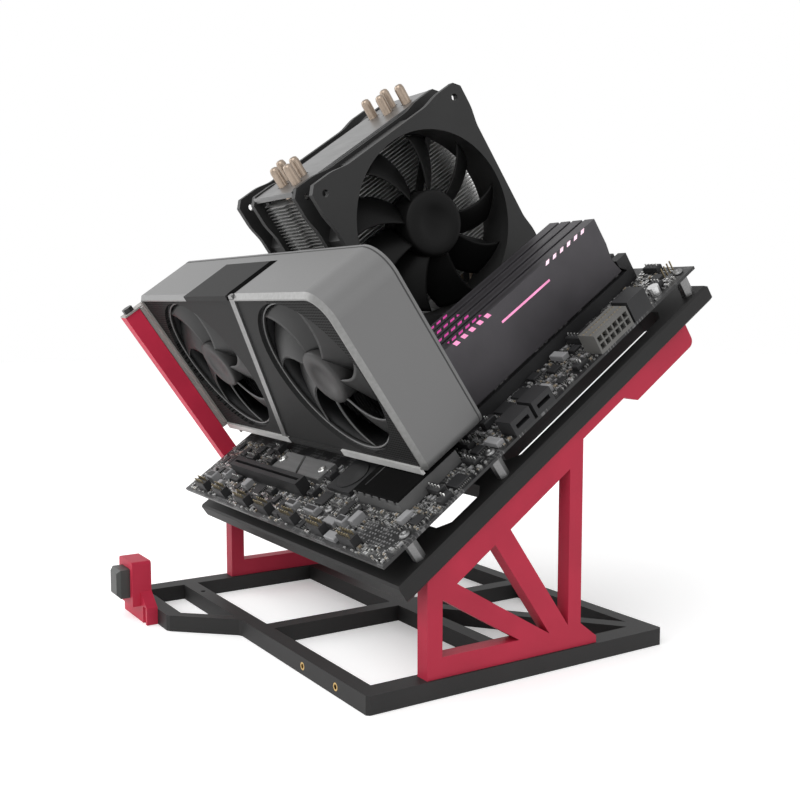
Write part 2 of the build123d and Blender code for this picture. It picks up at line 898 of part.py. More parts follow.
with BuildPart() as card_caps:
    upper, lower = card_gap_spans
    cap_u = (card_front, card_frame_end)
    slab((upper[0], upper[1] - card_shadow_gap), cap_u, (card_top - card_wall, card_top))
    slab((lower[0] + card_shadow_gap, lower[1]), cap_u, (card_bottom, card_bottom + card_wall))
finish(card_caps, "card_caps")

with BuildPart() as card_panel:
    with BuildSketch(facing(card_panel_u[1])):
        add(card_outline(card_wall))
        add(slant_bar(fit_gap), mode=Mode.SUBTRACT)
        with Locations(*card_fan_places):
            Circle(card_fan_bore, mode=Mode.SUBTRACT)
    extrude(amount=card_panel_thickness)
finish(card_panel, "card_panel")

# Card board, heat sink with the fans' shafts, and back cover
card_pocket_end = card_back - card_back_plate
card_board_x = (card_end_inner + bracket_sheet, card_right_x - card_wall - card_fin_margin)
card_board_n = (card_bottom + card_wall, card_top - card_wall - card_fin_margin)
card_edge_x = (card_slot_x + card_slot_seat + fit_gap, card_slot_end - card_slot_seat - fit_gap)

with BuildPart() as card_board:
    slab(card_board_x, card_board_u, card_board_n)
    slab(card_edge_x, card_board_u, (card_edge_bottom, card_board_n[0]))
finish(card_board, "card_board")

sink_x = (card_board_x[0] + card_fin_margin, card_board_x[1])
sink_n = (card_board_n[0] + card_fin_margin, card_board_n[1])
sink_front = card_board_u[0] - card_fin_base - card_fin_depth
sink_step = (sink_x[1] - sink_x[0] - card_fin_thickness) / (card_fin_count - 1)
card_hub_back = sink_front - card_boss_height - slide_gap

with BuildPart() as card_heatsink:
    slab(sink_x, (card_board_u[0] - card_fin_base, card_board_u[0]), sink_n)
    with BuildSketch(facing(card_board_u[0] - card_fin_base)):
        with Locations((sum(sink_x) / 2, sum(sink_n) / 2)):
            with GridLocations(sink_step, 0, card_fin_count, 1):
                Rectangle(card_fin_thickness, sink_n[1] - sink_n[0])
    extrude(amount=card_fin_depth)
    with BuildSketch(facing(card_board_u[0] - card_fin_base)):
        with Locations(*card_fan_places):
            RegularPolygon(card_boss_radius, card_boss_sides)
    extrude(amount=card_fin_depth + card_boss_height)
    with BuildSketch(facing(sink_front - card_boss_height)):
        with Locations(*card_fan_places):
            Circle(shaft_radius)
    extrude(amount=card_rotor_depth - 2 * hub_cap)
finish(card_heatsink, "card_heatsink")

with BuildPart() as card_back_cover:
    with BuildSketch(facing(card_back)):
        add(card_outline(0))
    extrude(amount=card_back_depth)
    with BuildSketch(facing(card_pocket_end)):
        add(card_outline(card_wall))
        with Locations((card_middle_x, card_bottom)):
            Rectangle(card_length - 2 * card_round, 2 * card_round)
    extrude(amount=card_pocket_end - card_frame_end, mode=Mode.SUBTRACT)
    slab(
        (card_slot_x - card_wall, card_slot_end + card_wall),
        (card_frame_end, card_back),
        (card_bottom, card_bottom + card_wall),
        Mode.SUBTRACT,
    )
    slab((card_left_x, card_end_inner), (card_frame_end, card_pocket_end), card_end_window, Mode.SUBTRACT)
finish(card_back_cover, "card_back_cover")

# Card bracket: an end sheet with vents and port mouths, and a tab screwed to the post
sheet_u = (card_front + card_strip, card_back)
sheet_n = (-bracket_tongue, post_top + bracket_sheet)
sheet_x = (card_left_x - bracket_sheet, card_left_x)
port_pitch = (card_end_window[1] - card_end_window[0]) / port_count
port_n = [card_end_window[0] + (i + 0.5) * port_pitch for i in range(port_count)]
port_u = (card_board_u[0] - port_height, card_board_u[0])
vent_pitch = (card_end_window[1] - card_end_window[0]) / vent_count
vent_n = [card_end_window[0] + (i + 0.5) * vent_pitch for i in range(vent_count)]
vent_u = centred((sheet_u[0] + port_u[0]) / 2, vent_length)

with BuildPart() as card_bracket:
    slab(sheet_x, sheet_u, (board_top, sheet_n[1]))
    slab(sheet_x, centred(card_board_middle, bracket_tongue), (sheet_n[0], board_top))
    slab((post_outer_x, sheet_x[1]), (post_start, sheet_u[0] + bracket_tongue), (post_top, sheet_n[1]))
    for n in port_n:
        slab(
            sheet_x,
            (port_u[0] - fit_gap, port_u[1] + fit_gap),
            centred(n, port_width + 2 * fit_gap),
            Mode.SUBTRACT,
        )
    for n in vent_n:
        slab(sheet_x, vent_u, centred(n, vent_width), Mode.SUBTRACT)
    with BuildSketch(slope.offset(post_top)):
        with Locations((post_middle_x, post_middle_u)):
            Circle(card_screw_radius + fit_gap)
    extrude(amount=bracket_sheet, mode=Mode.SUBTRACT)
finish(card_bracket, "card_bracket")

with BuildPart() as card_ports:
    for n in port_n:
        slab((sheet_x[0] - bracket_sheet, sink_x[0] - fit_gap), port_u, centred(n, port_width))
finish(card_ports, "card_ports")

with BuildPart() as card_screw:
    with BuildSketch(slope.offset(sheet_n[1])):
        with Locations((post_middle_x, post_middle_u)):
            RegularPolygon(card_screw_head_radius, card_screw_head_sides)
    extrude(amount=card_screw_head)
    with BuildSketch(slope.offset(sheet_n[1])):
        with Locations((post_middle_x, post_middle_u)):
            Circle(card_screw_radius)
    extrude(amount=-card_screw_length + bracket_sheet)
finish(card_screw, "card_screw")


# Fan rotors: a hub with cambered blades, each cut to an outline that widens and leans to its tip
def fan_blade(hub_radius, tip_radius, chord, pitch, root, tip, lean):
    """One blade along +X, with its middle on the rotor's middle plane."""
    reach = (tip_radius**2 - (tip / 2 + lean) ** 2) ** 0.5
    along = Vector(cos(radians(pitch)), sin(radians(pitch)))
    normal = Vector(-along.Y, along.X)
    skin = normal * blade_thickness
    middle = Vector(lean / 2, 0)
    start = middle - along * (chord / 2)
    crown = middle + normal * (blade_camber * chord)
    end = middle + along * (chord / 2)
    with BuildPart() as blade:
        with BuildSketch(Plane.YZ.offset(hub_radius - blade_sink)):
            with BuildLine():
                Polyline(start, crown, end, end + skin, crown + skin, start + skin, close=True)
            make_face()
        extrude(amount=reach - hub_radius + blade_sink)
        with BuildSketch(Plane.XY.offset(-chord / 2)):
            Polygon(
                (0, -root / 2),
                (reach, lean - tip / 2),
                (reach, lean + tip / 2),
                (0, root / 2),
                align=None,
            )
        extrude(amount=chord, mode=Mode.INTERSECT)
    return blade.part


def fan_rotor(back, hub_radius, depth, blade, count):
    """Rotor on its back plane: a many-sided hub with a blind bore and its ring of blades."""
    sides = hub_sides_per_blade * count
    with BuildPart() as rotor:
        with BuildSketch(back):
            RegularPolygon(hub_radius, sides, rotation=180 / sides)
        extrude(amount=depth)
        with Locations(back.offset(depth / 2)):
            with PolarLocations(0, count):
                add(blade)
        with BuildSketch(back):
            Circle(shaft_radius + run_gap)
        extrude(amount=depth - hub_cap, mode=Mode.SUBTRACT)
    return rotor


card_ring_radius = card_fan_bore - tip_gap
card_blade = fan_blade(
    card_hub_radius,
    card_ring_radius - card_ring_wall / 4,
    card_blade_chord,
    card_blade_pitch,
    card_blade_root,
    card_blade_tip,
    card_blade_lean,
)
for name, x in zip(("card_fan_left", "card_fan_right"), card_fan_x):
    hub_place = facing(card_hub_back)
    hub_place.origin = slope.from_local_coords((x, card_hub_back, card_middle_n))
    inner = fan_rotor(hub_place, card_hub_radius, card_rotor_depth, card_blade, card_fan_blades)
    with BuildPart() as card_rotor:
        add(inner.part)
        with BuildSketch(hub_place.offset(card_rotor_depth - hub_cap - card_ring_depth)):
            RegularPolygon(card_ring_radius, card_ring_sides)
            RegularPolygon(card_ring_radius - card_ring_wall, card_ring_sides, mode=Mode.SUBTRACT)
        extrude(amount=card_ring_depth)
    finish(card_rotor, name)

# Cooler: base block with pipe channels, bent pipes, fins, top plate and clamping arch
pipe_places = [cpu_x + (i - (pipe_count - 1) / 2) * pipe_pitch for i in range(pipe_count)]
pipe_legs = [pipe_leg + (-pipe_zigzag if i % 2 == 0 else pipe_zigzag) for i in range(pipe_count)]
pipe_middle_n = cpu_top + pipe_floor + pipe_radius
cooler_base_top = cpu_top + cooler_base_height
fin_top = fin_bottom + fin_count * fin_pitch
pipe_tip = fin_top + top_plate + pipe_stand_out
pipe_hole = pipe_radius + fit_gap
pipe_row = (pipe_count - 1) * pipe_pitch

with BuildPart() as cooler_base:
    slab(centred(cpu_x, cooler_base_width), centred(cpu_u, cooler_base_length), (cpu_top, cooler_base_top))
    for x in pipe_places:
        slab(
            centred(x, 2 * pipe_hole),
            centred(cpu_u, cooler_base_length),
            centred(pipe_middle_n, 2 * pipe_hole),
            Mode.SUBTRACT,
        )
finish(cooler_base, "cooler_base")

with BuildPart() as heat_pipes:
    for x, leg in zip(pipe_places, pipe_legs):
        with BuildLine(across(x)) as path:
            Polyline(
                (cpu_u - leg, pipe_tip),
                (cpu_u - leg, pipe_middle_n + pipe_bend),
                (cpu_u - leg + pipe_bend, pipe_middle_n),
                (cpu_u + leg - pipe_bend, pipe_middle_n),
                (cpu_u + leg, pipe_middle_n + pipe_bend),
                (cpu_u + leg, pipe_tip),
            )
        with BuildSketch(Plane(origin=path.line @ 0, z_dir=path.line % 0)):
            RegularPolygon(pipe_radius, pipe_sides)
        sweep(transition=Transition.RIGHT)
    tips = heat_pipes.edges().group_by(Axis(slope.origin, slope.z_dir))[-1]
    chamfer(tips, pipe_tip_bevel)
finish(heat_pipes, "heat_pipes")

with BuildPart() as fin_stack:
    with BuildSketch(slope.offset(fin_bottom)):
        with Locations((cpu_x, cpu_u)):
            Rectangle(fin_depth, fin_length)
        with Locations((cpu_x, cpu_u - pipe_leg), (cpu_x, cpu_u + pipe_leg)):
            Rectangle(pipe_row + 2 * pipe_hole, 2 * (pipe_zigzag + pipe_hole), mode=Mode.SUBTRACT)
    extrude(amount=fin_thickness)
    plate = fin_stack.part
    for i in range(1, fin_count):
        add(plate.moved(Location(slope.z_dir * (i * fin_pitch))))
finish(fin_stack, "fin_stack")

with BuildPart() as cooler_top_plate:
    slab(centred(cpu_x, fin_depth), centred(cpu_u, fin_length), (fin_top, fin_top + top_plate))
    with BuildSketch(slope.offset(fin_top)):
        for x, leg in zip(pipe_places, pipe_legs):
            with Locations((x, cpu_u - leg), (x, cpu_u + leg)):
                Rectangle(2 * pipe_hole, 2 * pipe_hole)
    extrude(amount=top_plate, mode=Mode.SUBTRACT)
finish(cooler_top_plate, "cooler_top_plate")

with BuildPart() as cooler_arch:
    with BuildSketch(facing(cpu_u + arch_length / 2)):
        with Locations((cpu_x, (board_top + socket_height + cooler_base_top + arch_bar) / 2)):
            Rectangle(arch_width, cooler_base_top + arch_bar - board_top - socket_height)
        with Locations((cpu_x, (board_top + cooler_base_top) / 2)):
            Rectangle(arch_width - 2 * arch_leg, cooler_base_top - board_top, mode=Mode.SUBTRACT)
    extrude(amount=arch_length)
finish(cooler_arch, "cooler_arch")

# Cooler fans: frames with corner ears, struts and a shaft, and their rotors
fan_middle_n = fan_lift + fan_side / 2


def fan_frame(back):
    """Frame on its back plane, with struts, motor plate and shaft at the back."""
    with BuildPart() as frame:
        with BuildSketch(back) as outline:
            Rectangle(fan_side, fan_side)
            chamfer(outline.vertices(), fan_ear_bevel)
            with PolarLocations(fan_side / 2, 4):
                Rectangle(2 * fan_recess, fan_side - 2 * fan_ear, mode=Mode.SUBTRACT)
            Circle(fan_bore, mode=Mode.SUBTRACT)
        extrude(amount=fan_depth)
        with BuildSketch(back.offset(fan_flange)):
            Rectangle(fan_side, fan_side)
            Rectangle(2 * (fan_bore + fan_wall), 2 * (fan_bore + fan_wall), rotation=45, mode=Mode.SUBTRACT)
        extrude(amount=fan_depth - 2 * fan_flange, mode=Mode.SUBTRACT)
        with BuildSketch(back):
            with GridLocations(fan_hole_pitch, fan_hole_pitch, 2, 2):
                RegularPolygon(fan_hole_radius, small_hole_sides)
        extrude(amount=fan_depth, mode=Mode.SUBTRACT)
        with BuildSketch(back):
            Circle(fan_hub_radius)
            Rectangle(2 * fan_bore + fan_wall, fan_strut, rotation=45)
            Rectangle(2 * fan_bore + fan_wall, fan_strut, rotation=-45)
        extrude(amount=fan_plate)
        with BuildSketch(back.offset(fan_plate)):
            Circle(shaft_radius)
        extrude(amount=fan_depth - 2 * fan_plate - hub_cap)
    return frame


fan_rotor_depth = fan_depth - fan_plate - slide_gap - hub_cap
fan_backs = (cpu_x + fin_depth / 2, cpu_x - fin_depth / 2 - fan_depth)
cooler_blade = fan_blade(
    fan_hub_radius,
    fan_bore - tip_gap,
    fan_blade_chord,
    fan_blade_pitch,
    fan_blade_root,
    fan_blade_tip,
    fan_blade_lean,
)
for name, x in zip(("front_fan", "rear_fan"), fan_backs):
    back = across(x)
    back.origin = slope.from_local_coords((x, cpu_u, fan_middle_n))
    finish(fan_frame(back), f"{name}_frame")
    rotor_back = back.offset(fan_plate + slide_gap)
    rotor = fan_rotor(rotor_back, fan_hub_radius, fan_rotor_depth, cooler_blade, fan_blades)
    finish(rotor, f"{name}_rotor")


# Heat sinks on the board: ribbed bars
def ribbed_bar(x, u, height, groove_depth, along_u):
    """A bar on the board with grooves cut into its top, running along its length."""
    top = board_top + height
    slab(x, u, (board_top, top))
    span = x if along_u else u
    count = int((span[1] - span[0]) / (sink_groove + sink_rib))
    step = (span[1] - span[0]) / count
    for i in range(count):
        groove = centred(span[0] + (i + 0.5) * step, sink_groove)
        sides = (groove, u) if along_u else (x, groove)
        slab(*sides, (top - groove_depth, top), Mode.SUBTRACT)


with BuildPart() as chipset_heatsink:
    ribbed_bar(chipset_x, chipset_u, chipset_height, chipset_groove, True)
finish(chipset_heatsink, "chipset_heatsink")

with BuildPart() as drive_cover:
    ribbed_bar(drive_cover_x, drive_cover_u, drive_cover_height, chipset_groove, False)
finish(drive_cover, "drive_cover")

with BuildPart() as side_heatsink:
    ribbed_bar(side_sink_x, side_sink_u, side_sink_height, side_sink_height / 2, True)
finish(side_heatsink, "side_heatsink")

with BuildPart() as top_heatsink:
    ribbed_bar(top_sink_x, top_sink_u, top_sink_height, top_sink_height / 2, False)
finish(top_heatsink, "top_heatsink")

# Sockets on the board's edges
rear_face_x = board_left_x - port_block_overhang
rear_span = (rear_face_x, rear_face_x + port_block_depth)
edge_span = (board_right_x - edge_socket_depth, board_right_x)

with BuildPart() as usb_ports:
    for u in usb_u:
        slab(rear_span, centred(u, usb_width), (board_top, board_top + usb_height))
        for i in range(usb_mouths):
            slab(
                (rear_face_x, rear_face_x + usb_mouth_depth),
                centred(u, usb_mouth_width),
                centred(board_top + (i + 0.5) * usb_height / usb_mouths, usb_mouth_height),
                Mode.SUBTRACT,
            )
finish(usb_ports, "usb_ports")

with BuildPart() as sound_jacks:
    for u in jack_u:
        slab(rear_span, centred(u, jack_width), (board_top, board_top + jack_height))
    with BuildSketch(across(rear_face_x)):
        with Locations(*[(u, board_top + jack_height / 2) for u in jack_u]):
            RegularPolygon(jack_radius, small_hole_sides)
    extrude(amount=port_block_depth / 2, mode=Mode.SUBTRACT)
finish(sound_jacks, "sound_jacks")

with BuildPart() as main_power_socket:
    slab(edge_span, power_socket_u, (board_top, board_top + power_socket_height))
    pocket_count = int((power_socket_u[1] - power_socket_u[0]) / power_pocket_pitch)
    with BuildSketch(across(board_right_x)):
        with Locations((sum(power_socket_u) / 2, board_top + power_socket_height / 2)):
            with GridLocations(power_pocket_pitch, power_pocket_pitch, pocket_count, 2):
                Rectangle(power_pocket, power_pocket)
    extrude(amount=-power_pocket_depth, mode=Mode.SUBTRACT)
finish(main_power_socket, "main_power_socket")

with BuildPart() as usb_header:
    slab(edge_span, usb_header_u, (board_top, board_top + usb_header_height))
finish(usb_header, "usb_header")

with BuildPart() as sata_ports:
    for u in sata_u:
        slab(edge_span, centred(u, sata_width), (board_top, board_top + sata_height))
        slab(
            (board_right_x - edge_socket_depth / 2, board_right_x),
            centred(u, sata_width - 2 * sata_slot),
            centred(board_top + sata_height / 2, sata_slot),
            Mode.SUBTRACT,
        )
finish(sata_ports, "sata_ports")

with BuildPart() as cpu_power_socket:
    slab(cpu_power_x, cpu_power_u, (board_top, board_top + cpu_power_height))
finish(cpu_power_socket, "cpu_power_socket")

with BuildPart() as pin_headers:
    for x in header_x:
        slab(
            centred(x, header_length),
            centred(header_u, header_width),
            (board_top, board_top + header_height),
        )
finish(pin_headers, "pin_headers")

# Small round and square parts
with BuildPart() as capacitors:
    with BuildSketch(slope.offset(board_top)):
        with Locations(*capacitor_places):
            RegularPolygon(capacitor_radius, capacitor_sides)
    extrude(amount=capacitor_height)
finish(capacitors, "capacitors")

with BuildPart() as chokes:
    for u in choke_u:
        slab(centred(choke_x, choke_side), centred(u, choke_side), (board_top, board_top + choke_height))
finish(chokes, "chokes")

with BuildPart() as coin_cell:
    with BuildSketch(slope.offset(board_top)):
        with Locations((cell_x, cell_u)):
            RegularPolygon(cell_radius, cell_sides)
    extrude(amount=cell_height)
finish(coin_cell, "coin_cell")

with BuildPart() as cell_holder:
    holder_side = 2 * (cell_radius + fit_gap + cell_holder_wall)
    with BuildSketch(slope.offset(board_top)):
        with Locations((cell_x, cell_u)):
            Rectangle(holder_side, holder_side)
            RegularPolygon(cell_radius + fit_gap, cell_sides, mode=Mode.SUBTRACT)
    extrude(amount=cell_holder_height)
finish(cell_holder, "cell_holder")
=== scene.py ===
import math
import random

import bmesh
import bpy
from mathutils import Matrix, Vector


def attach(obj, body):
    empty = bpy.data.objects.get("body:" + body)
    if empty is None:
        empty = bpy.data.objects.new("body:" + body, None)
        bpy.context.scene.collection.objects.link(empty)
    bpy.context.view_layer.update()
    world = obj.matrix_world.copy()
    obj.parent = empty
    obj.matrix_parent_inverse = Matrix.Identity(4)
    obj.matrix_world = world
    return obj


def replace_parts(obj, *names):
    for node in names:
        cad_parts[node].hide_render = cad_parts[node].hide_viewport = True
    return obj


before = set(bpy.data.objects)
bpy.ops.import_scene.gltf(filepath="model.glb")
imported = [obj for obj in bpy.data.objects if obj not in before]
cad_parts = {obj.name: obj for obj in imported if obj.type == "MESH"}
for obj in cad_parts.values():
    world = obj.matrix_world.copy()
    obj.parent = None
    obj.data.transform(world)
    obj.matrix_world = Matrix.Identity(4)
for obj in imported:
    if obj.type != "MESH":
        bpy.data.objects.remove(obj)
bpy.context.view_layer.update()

# The slope that the board lies on: x across, u up the slope, n off the board, in millimetres
MM = 0.001
TILT = math.radians(35.0)
SLOPE_ORIGIN = Vector((0, -85.8, 67.0)) * MM
UP_SLOPE = Vector((0, math.cos(TILT), math.sin(TILT)))
OFF_BOARD = Vector((0, -math.sin(TILT), math.cos(TILT)))
ACROSS = Vector((1, 0, 0))
BOARD_TOP = 1.6

# Zones of the board for small parts, as x, x, u, u; the room that parts keep; and the drive shield's x and u
FRONT_ZONE = (-122, 118, 1, 50)
RIGHT_ZONE = (86, 119, 20, 243)
BACK_ZONE = (-122, 119, 93, 243)
BOARD_MARGIN = 1.5
NODE_ROOM = 0.6
SCREW_ROOM = 4
PART_ROOM = 0.25
SHIELD_ROOM = 1
SHIELD = ((-50.0, 8.0), (34.5, 48.5))

# Card: middles of its fans, and the x that the upper left part of its band reaches to
CARD_FAN_X = (-84.4, 51.4)
CARD_FAN_N = 64.25
CARD_CAP_LEFT = -55.0

# Lit dashes on the near memory: first middle along u, count, length, height, lean and material;
# and the span of u where the light bars glow
LIGHT_DASHES = ((111.1, 5, 3.0, 2.4, -1.6, 0), (184.1, 6, 2.6, 1.9, 1.5, 1))
DASH_PITCH = 6.0
GLOW_SPAN = (109, 134)

# Camera of the photograph
CAMERA_PLACE = Vector((516.8, -331.5, 187.3)) * MM
CAMERA_TURN = math.radians(57.353)
CAMERA_DIP = math.radians(5.214)
CAMERA_LENS = 46.99
SENSOR = 36.0


def at(x, u, n):
    """World place of a point on the slope, given in millimetres."""
    return SLOPE_ORIGIN + ACROSS * (x * MM) + UP_SLOPE * (u * MM) + OFF_BOARD * (n * MM)


def on_slope(point):
    """Slope place, in millimetres, of a world point."""
    away = point - SLOPE_ORIGIN
    return Vector((away.dot(ACROSS), away.dot(UP_SLOPE), away.dot(OFF_BOARD))) / MM


def extent(places):
    """Lowest and highest x, u and n of places on the slope."""
    low = Vector([min(place[i] for place in places) for i in range(3)])
    high = Vector([max(place[i] for place in places) for i in range(3)])
    return low, high


def slope_box(node):
    """Lowest and highest x, u and n of a CAD node, in millimetres."""
    return extent([on_slope(vertex.co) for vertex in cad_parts[node].data.vertices])


# Materials
class Shader:
    """A material under construction, with short calls for the nodes that it needs."""

    def __init__(self, name):
        self.material = bpy.data.materials.new(name)
        self.material.use_nodes = True
        self.tree = self.material.node_tree
        self.surface = self.tree.nodes["Principled BSDF"]
        self.place = self.node("TexCoord").outputs["Object"]

    def node(self, kind, **settings):
        """A new node with some settings."""
        made = self.tree.nodes.new("ShaderNode" + kind)
        for key, value in settings.items():
            setattr(made, key, value)
        return made

    def link(self, source, socket):
        """Join an output to a socket."""
        self.tree.links.new(source, socket)

    def put(self, **values):
        """Set values of the surface; an underscore stands for a space."""
        for name, value in values.items():
            self.surface.inputs[name.replace("_", " ")].default_value = value

    def mapped(self, turn=0.0, scale=(1, 1, 1)):
        """Object coordinates turned about X or scaled along each axis."""
        mapping = self.node("Mapping")
        mapping.inputs["Rotation"].default_value = (turn, 0, 0)
        mapping.inputs["Scale"].default_value = scale
        self.link(self.place, mapping.inputs["Vector"])
        return mapping.outputs["Vector"]

    def noise(self, scale, detail=3.0, place=None):
        """Value of a noise texture."""
        made = self.node("TexNoise")
        made.inputs["Scale"].default_value = scale
        made.inputs["Detail"].default_value = detail
        self.link(place or self.place, made.inputs["Vector"])
        return made.outputs["Fac"]

    def bands(self, pitch, direction, place=None, distortion=0.0):
        """Wave texture with one band for each pitch, in metres."""
        made = self.node("TexWave", bands_direction=direction)
        made.inputs["Scale"].default_value = math.pi / (10 * pitch)
        made.inputs["Distortion"].default_value = distortion
        self.link(place or self.place, made.inputs["Vector"])
        return made.outputs["Fac"]

    def ramp(self, source, stops):
        """Colour ramp through (place, colour) stops."""
        made = self.node("ValToRGB")
        elements = made.color_ramp.elements
        while len(elements) < len(stops):
            elements.new(0.5)
        for element, (place, colour) in zip(elements, stops):
            element.position = place
            element.color = (*colour, 1.0)
        self.link(source, made.inputs["Fac"])
        return made.outputs["Color"]

    def spread(self, source, low, high):
        """A texture's value mapped onto a range."""
        made = self.node("MapRange")
        made.inputs["To Min"].default_value = low
        made.inputs["To Max"].default_value = high
        self.link(source, made.inputs["Value"])
        return made.outputs["Result"]

    def maths(self, operation, *values):
        """Maths node; each value is a socket or a number."""
        made = self.node("Math", operation=operation)
        for socket, value in zip(made.inputs, values):
            if isinstance(value, (int, float)):
                socket.default_value = value
            else:
                self.link(value, socket)
        return made.outputs["Value"]

    def parts(self, vector):
        """The three numbers of a vector."""
        made = self.node("SeparateXYZ")
        self.link(vector, made.inputs["Vector"])
        return made.outputs

    def colour(self, source):
        """Link the surface's colour."""
        self.link(source, self.surface.inputs["Base Color"])

    def rough(self, source):
        """Link the surface's roughness."""
        self.link(source, self.surface.inputs["Roughness"])

    def bump(self, source, height, strength=1.0, under=None):
        """Bump of a height in metres, on top of another bump if given."""
        made = self.node("Bump")
        made.inputs["Strength"].default_value = strength
        made.inputs["Distance"].default_value = height
        self.link(source, made.inputs["Height"])
        if under:
            self.link(under, made.inputs["Normal"])
        self.link(made.outputs["Normal"], self.surface.inputs["Normal"])
        return made.outputs["Normal"]


def grey(value):
    """A neutral colour."""
    return value, value, value


def shade(colour, factor):
    """A colour made darker or lighter."""
    return tuple(min(1.0, channel * factor) for channel in colour)


def mottled(colour, spread):
    """Ramp stops that vary a colour a little."""
    return [(0.3, shade(colour, 1 - spread)), (0.7, shade(colour, 1 + spread))]


def printed(name, colour, direction, angle=0.0, roughness=0.55):
    """Printed plastic: fine layer lines, a grainy skin and slight mottling."""
    layer_pitch, layer_height, waver = 0.0006, 0.00003, 0.4
    grain_scale, grain_height, cloud_scale, mottling = 2600, 0.00004, 28, 0.10
    made = Shader(name)
    layers = made.bands(layer_pitch, direction, made.mapped(angle), waver)
    grain = made.noise(grain_scale, 2)
    cloud = made.noise(cloud_scale, 4)
    made.colour(made.ramp(cloud, mottled(colour, mottling)))
    made.put(Specular_IOR_Level=0.25)
    made.rough(made.spread(grain, roughness - 0.08, roughness + 0.10))
    layered = made.bump(layers, layer_height, 0.5)
    made.bump(grain, grain_height, 0.35, layered)
    return made.material


def moulded(name, colour, roughness=0.5, gloss=0.3):
    """Moulded plastic with a fine sparked grain."""
    grain_scale, grain_height, cloud_scale, mottling = 3200, 0.00003, 45, 0.12
    made = Shader(name)
    grain = made.noise(grain_scale, 2)
    cloud = made.noise(cloud_scale, 3)
    made.colour(made.ramp(cloud, mottled(colour, mottling)))
    made.put(Specular_IOR_Level=gloss)
    made.rough(made.spread(cloud, roughness - 0.06, roughness + 0.08))
    made.bump(grain, grain_height, 0.5)
    return made.material


def metal(name, colour, roughness=0.35, stretch=(60, 1200, 1200), polish=1.0):
    """Metal with brush lines along one axis and light smudges."""
    brush_height, smudge_scale, mottling = 0.00002, 60, 0.10
    made = Shader(name)
    made.put(Metallic=polish)
    brush = made.noise(1.0, 4, made.mapped(scale=stretch))
    smudges = made.noise(smudge_scale, 3)
    made.colour(made.ramp(brush, mottled(colour, mottling)))
    made.rough(made.spread(smudges, roughness - 0.07, roughness + 0.09))
    made.bump(brush, brush_height, 0.3)
    return made.material


def lit(name, colour, strength):
    """Diffuser with a light behind it, a little uneven along its length."""
    cloud_scale, unevenness = 120, 0.15
    made = Shader(name)
    cloud = made.noise(cloud_scale, 2)
    glow = made.ramp(cloud, mottled(colour, unevenness))
    made.colour(glow)
    made.link(glow, made.surface.inputs["Emission Color"])
    made.put(Emission_Strength=strength, Roughness=0.4)
    return made.material


def light_bar(name, dark, colour, span):
    """Dark bar with slanted lit dashes in a span of u, given in millimetres."""
    slant, pitch, share, glow = 0.8, 0.0052, 0.62, 0.35
    made = Shader(name)
    x, along, _ = made.parts(made.mapped(-TILT))
    u = made.maths("SUBTRACT", along, SLOPE_ORIGIN.dot(UP_SLOPE))
    slanted = made.maths("MULTIPLY_ADD", x, slant, u)
    step = made.maths("FRACT", made.maths("DIVIDE", slanted, pitch))
    dash = made.maths("LESS_THAN", step, share)
    inside = made.maths("COMPARE", u, (span[0] + span[1]) / 2 * MM, (span[1] - span[0]) / 2 * MM)
    mask = made.maths("MULTIPLY", dash, inside)
    made.colour(made.ramp(mask, [(0.0, dark), (1.0, colour)]))
    made.put(Emission_Color=(*colour, 1.0), Roughness=0.4)
    made.link(made.maths("MULTIPLY", mask, glow), made.surface.inputs["Emission Strength"])
    return made.material


def card_shell(name, light, dark):
    """Sprayed metal of the card's band, with painted shade: darker on the faces that look along X."""
    speck_scale, speck_height, cloud_scale, unevenness = 2500, 0.00002, 14, 0.06
    made = Shader(name)
    normal = made.node("NewGeometry").outputs["Normal"]
    x_facing_shade = made.parts(normal)[0]
    speck = made.noise(speck_scale, 2)
    cloud = made.noise(cloud_scale, 3)
    tone = made.maths("ADD", x_facing_shade, made.spread(cloud, -unevenness, unevenness))
    made.colour(made.ramp(tone, [(0.05, light), (0.9, dark)]))
    made.put(Metallic=0.55)
    made.rough(made.spread(speck, 0.42, 0.56))
    made.bump(speck, speck_height, 0.3)
    return made.material


def pierced(name, solid, hole, middle, start):
    """Dark panel with fine holes past a distance from its middle, along X in millimetres."""
    pitch, share, depth, grain_scale = 0.0016, 0.62, 0.0003, 2600
    made = Shader(name)
    x, _, n = made.parts(made.mapped(-TILT))
    rows = made.maths("FRACT", made.maths("DIVIDE", n, pitch))
    pairs = made.maths("FRACT", made.maths("DIVIDE", n, 2 * pitch))
    shift = made.maths("MULTIPLY", made.maths("GREATER_THAN", pairs, 0.5), 0.5)
    columns = made.maths("FRACT", made.maths("ADD", made.maths("DIVIDE", x, pitch), shift))
    in_row = made.maths("LESS_THAN", rows, share)
    in_column = made.maths("LESS_THAN", columns, share)
    away = made.maths("ABSOLUTE", made.maths("SUBTRACT", x, middle * MM))
    outside = made.maths("GREATER_THAN", away, start * MM)
    mask = made.maths("MULTIPLY", made.maths("MULTIPLY", in_row, in_column), outside)
    grain = made.noise(grain_scale, 2)
    made.colour(made.ramp(mask, [(0.0, solid), (1.0, hole)]))
    made.put(Specular_IOR_Level=0.03)
    made.rough(made.spread(grain, 0.42, 0.58))
    made.bump(made.maths("SUBTRACT", 0.0, mask), depth, 0.6)
    return made.material


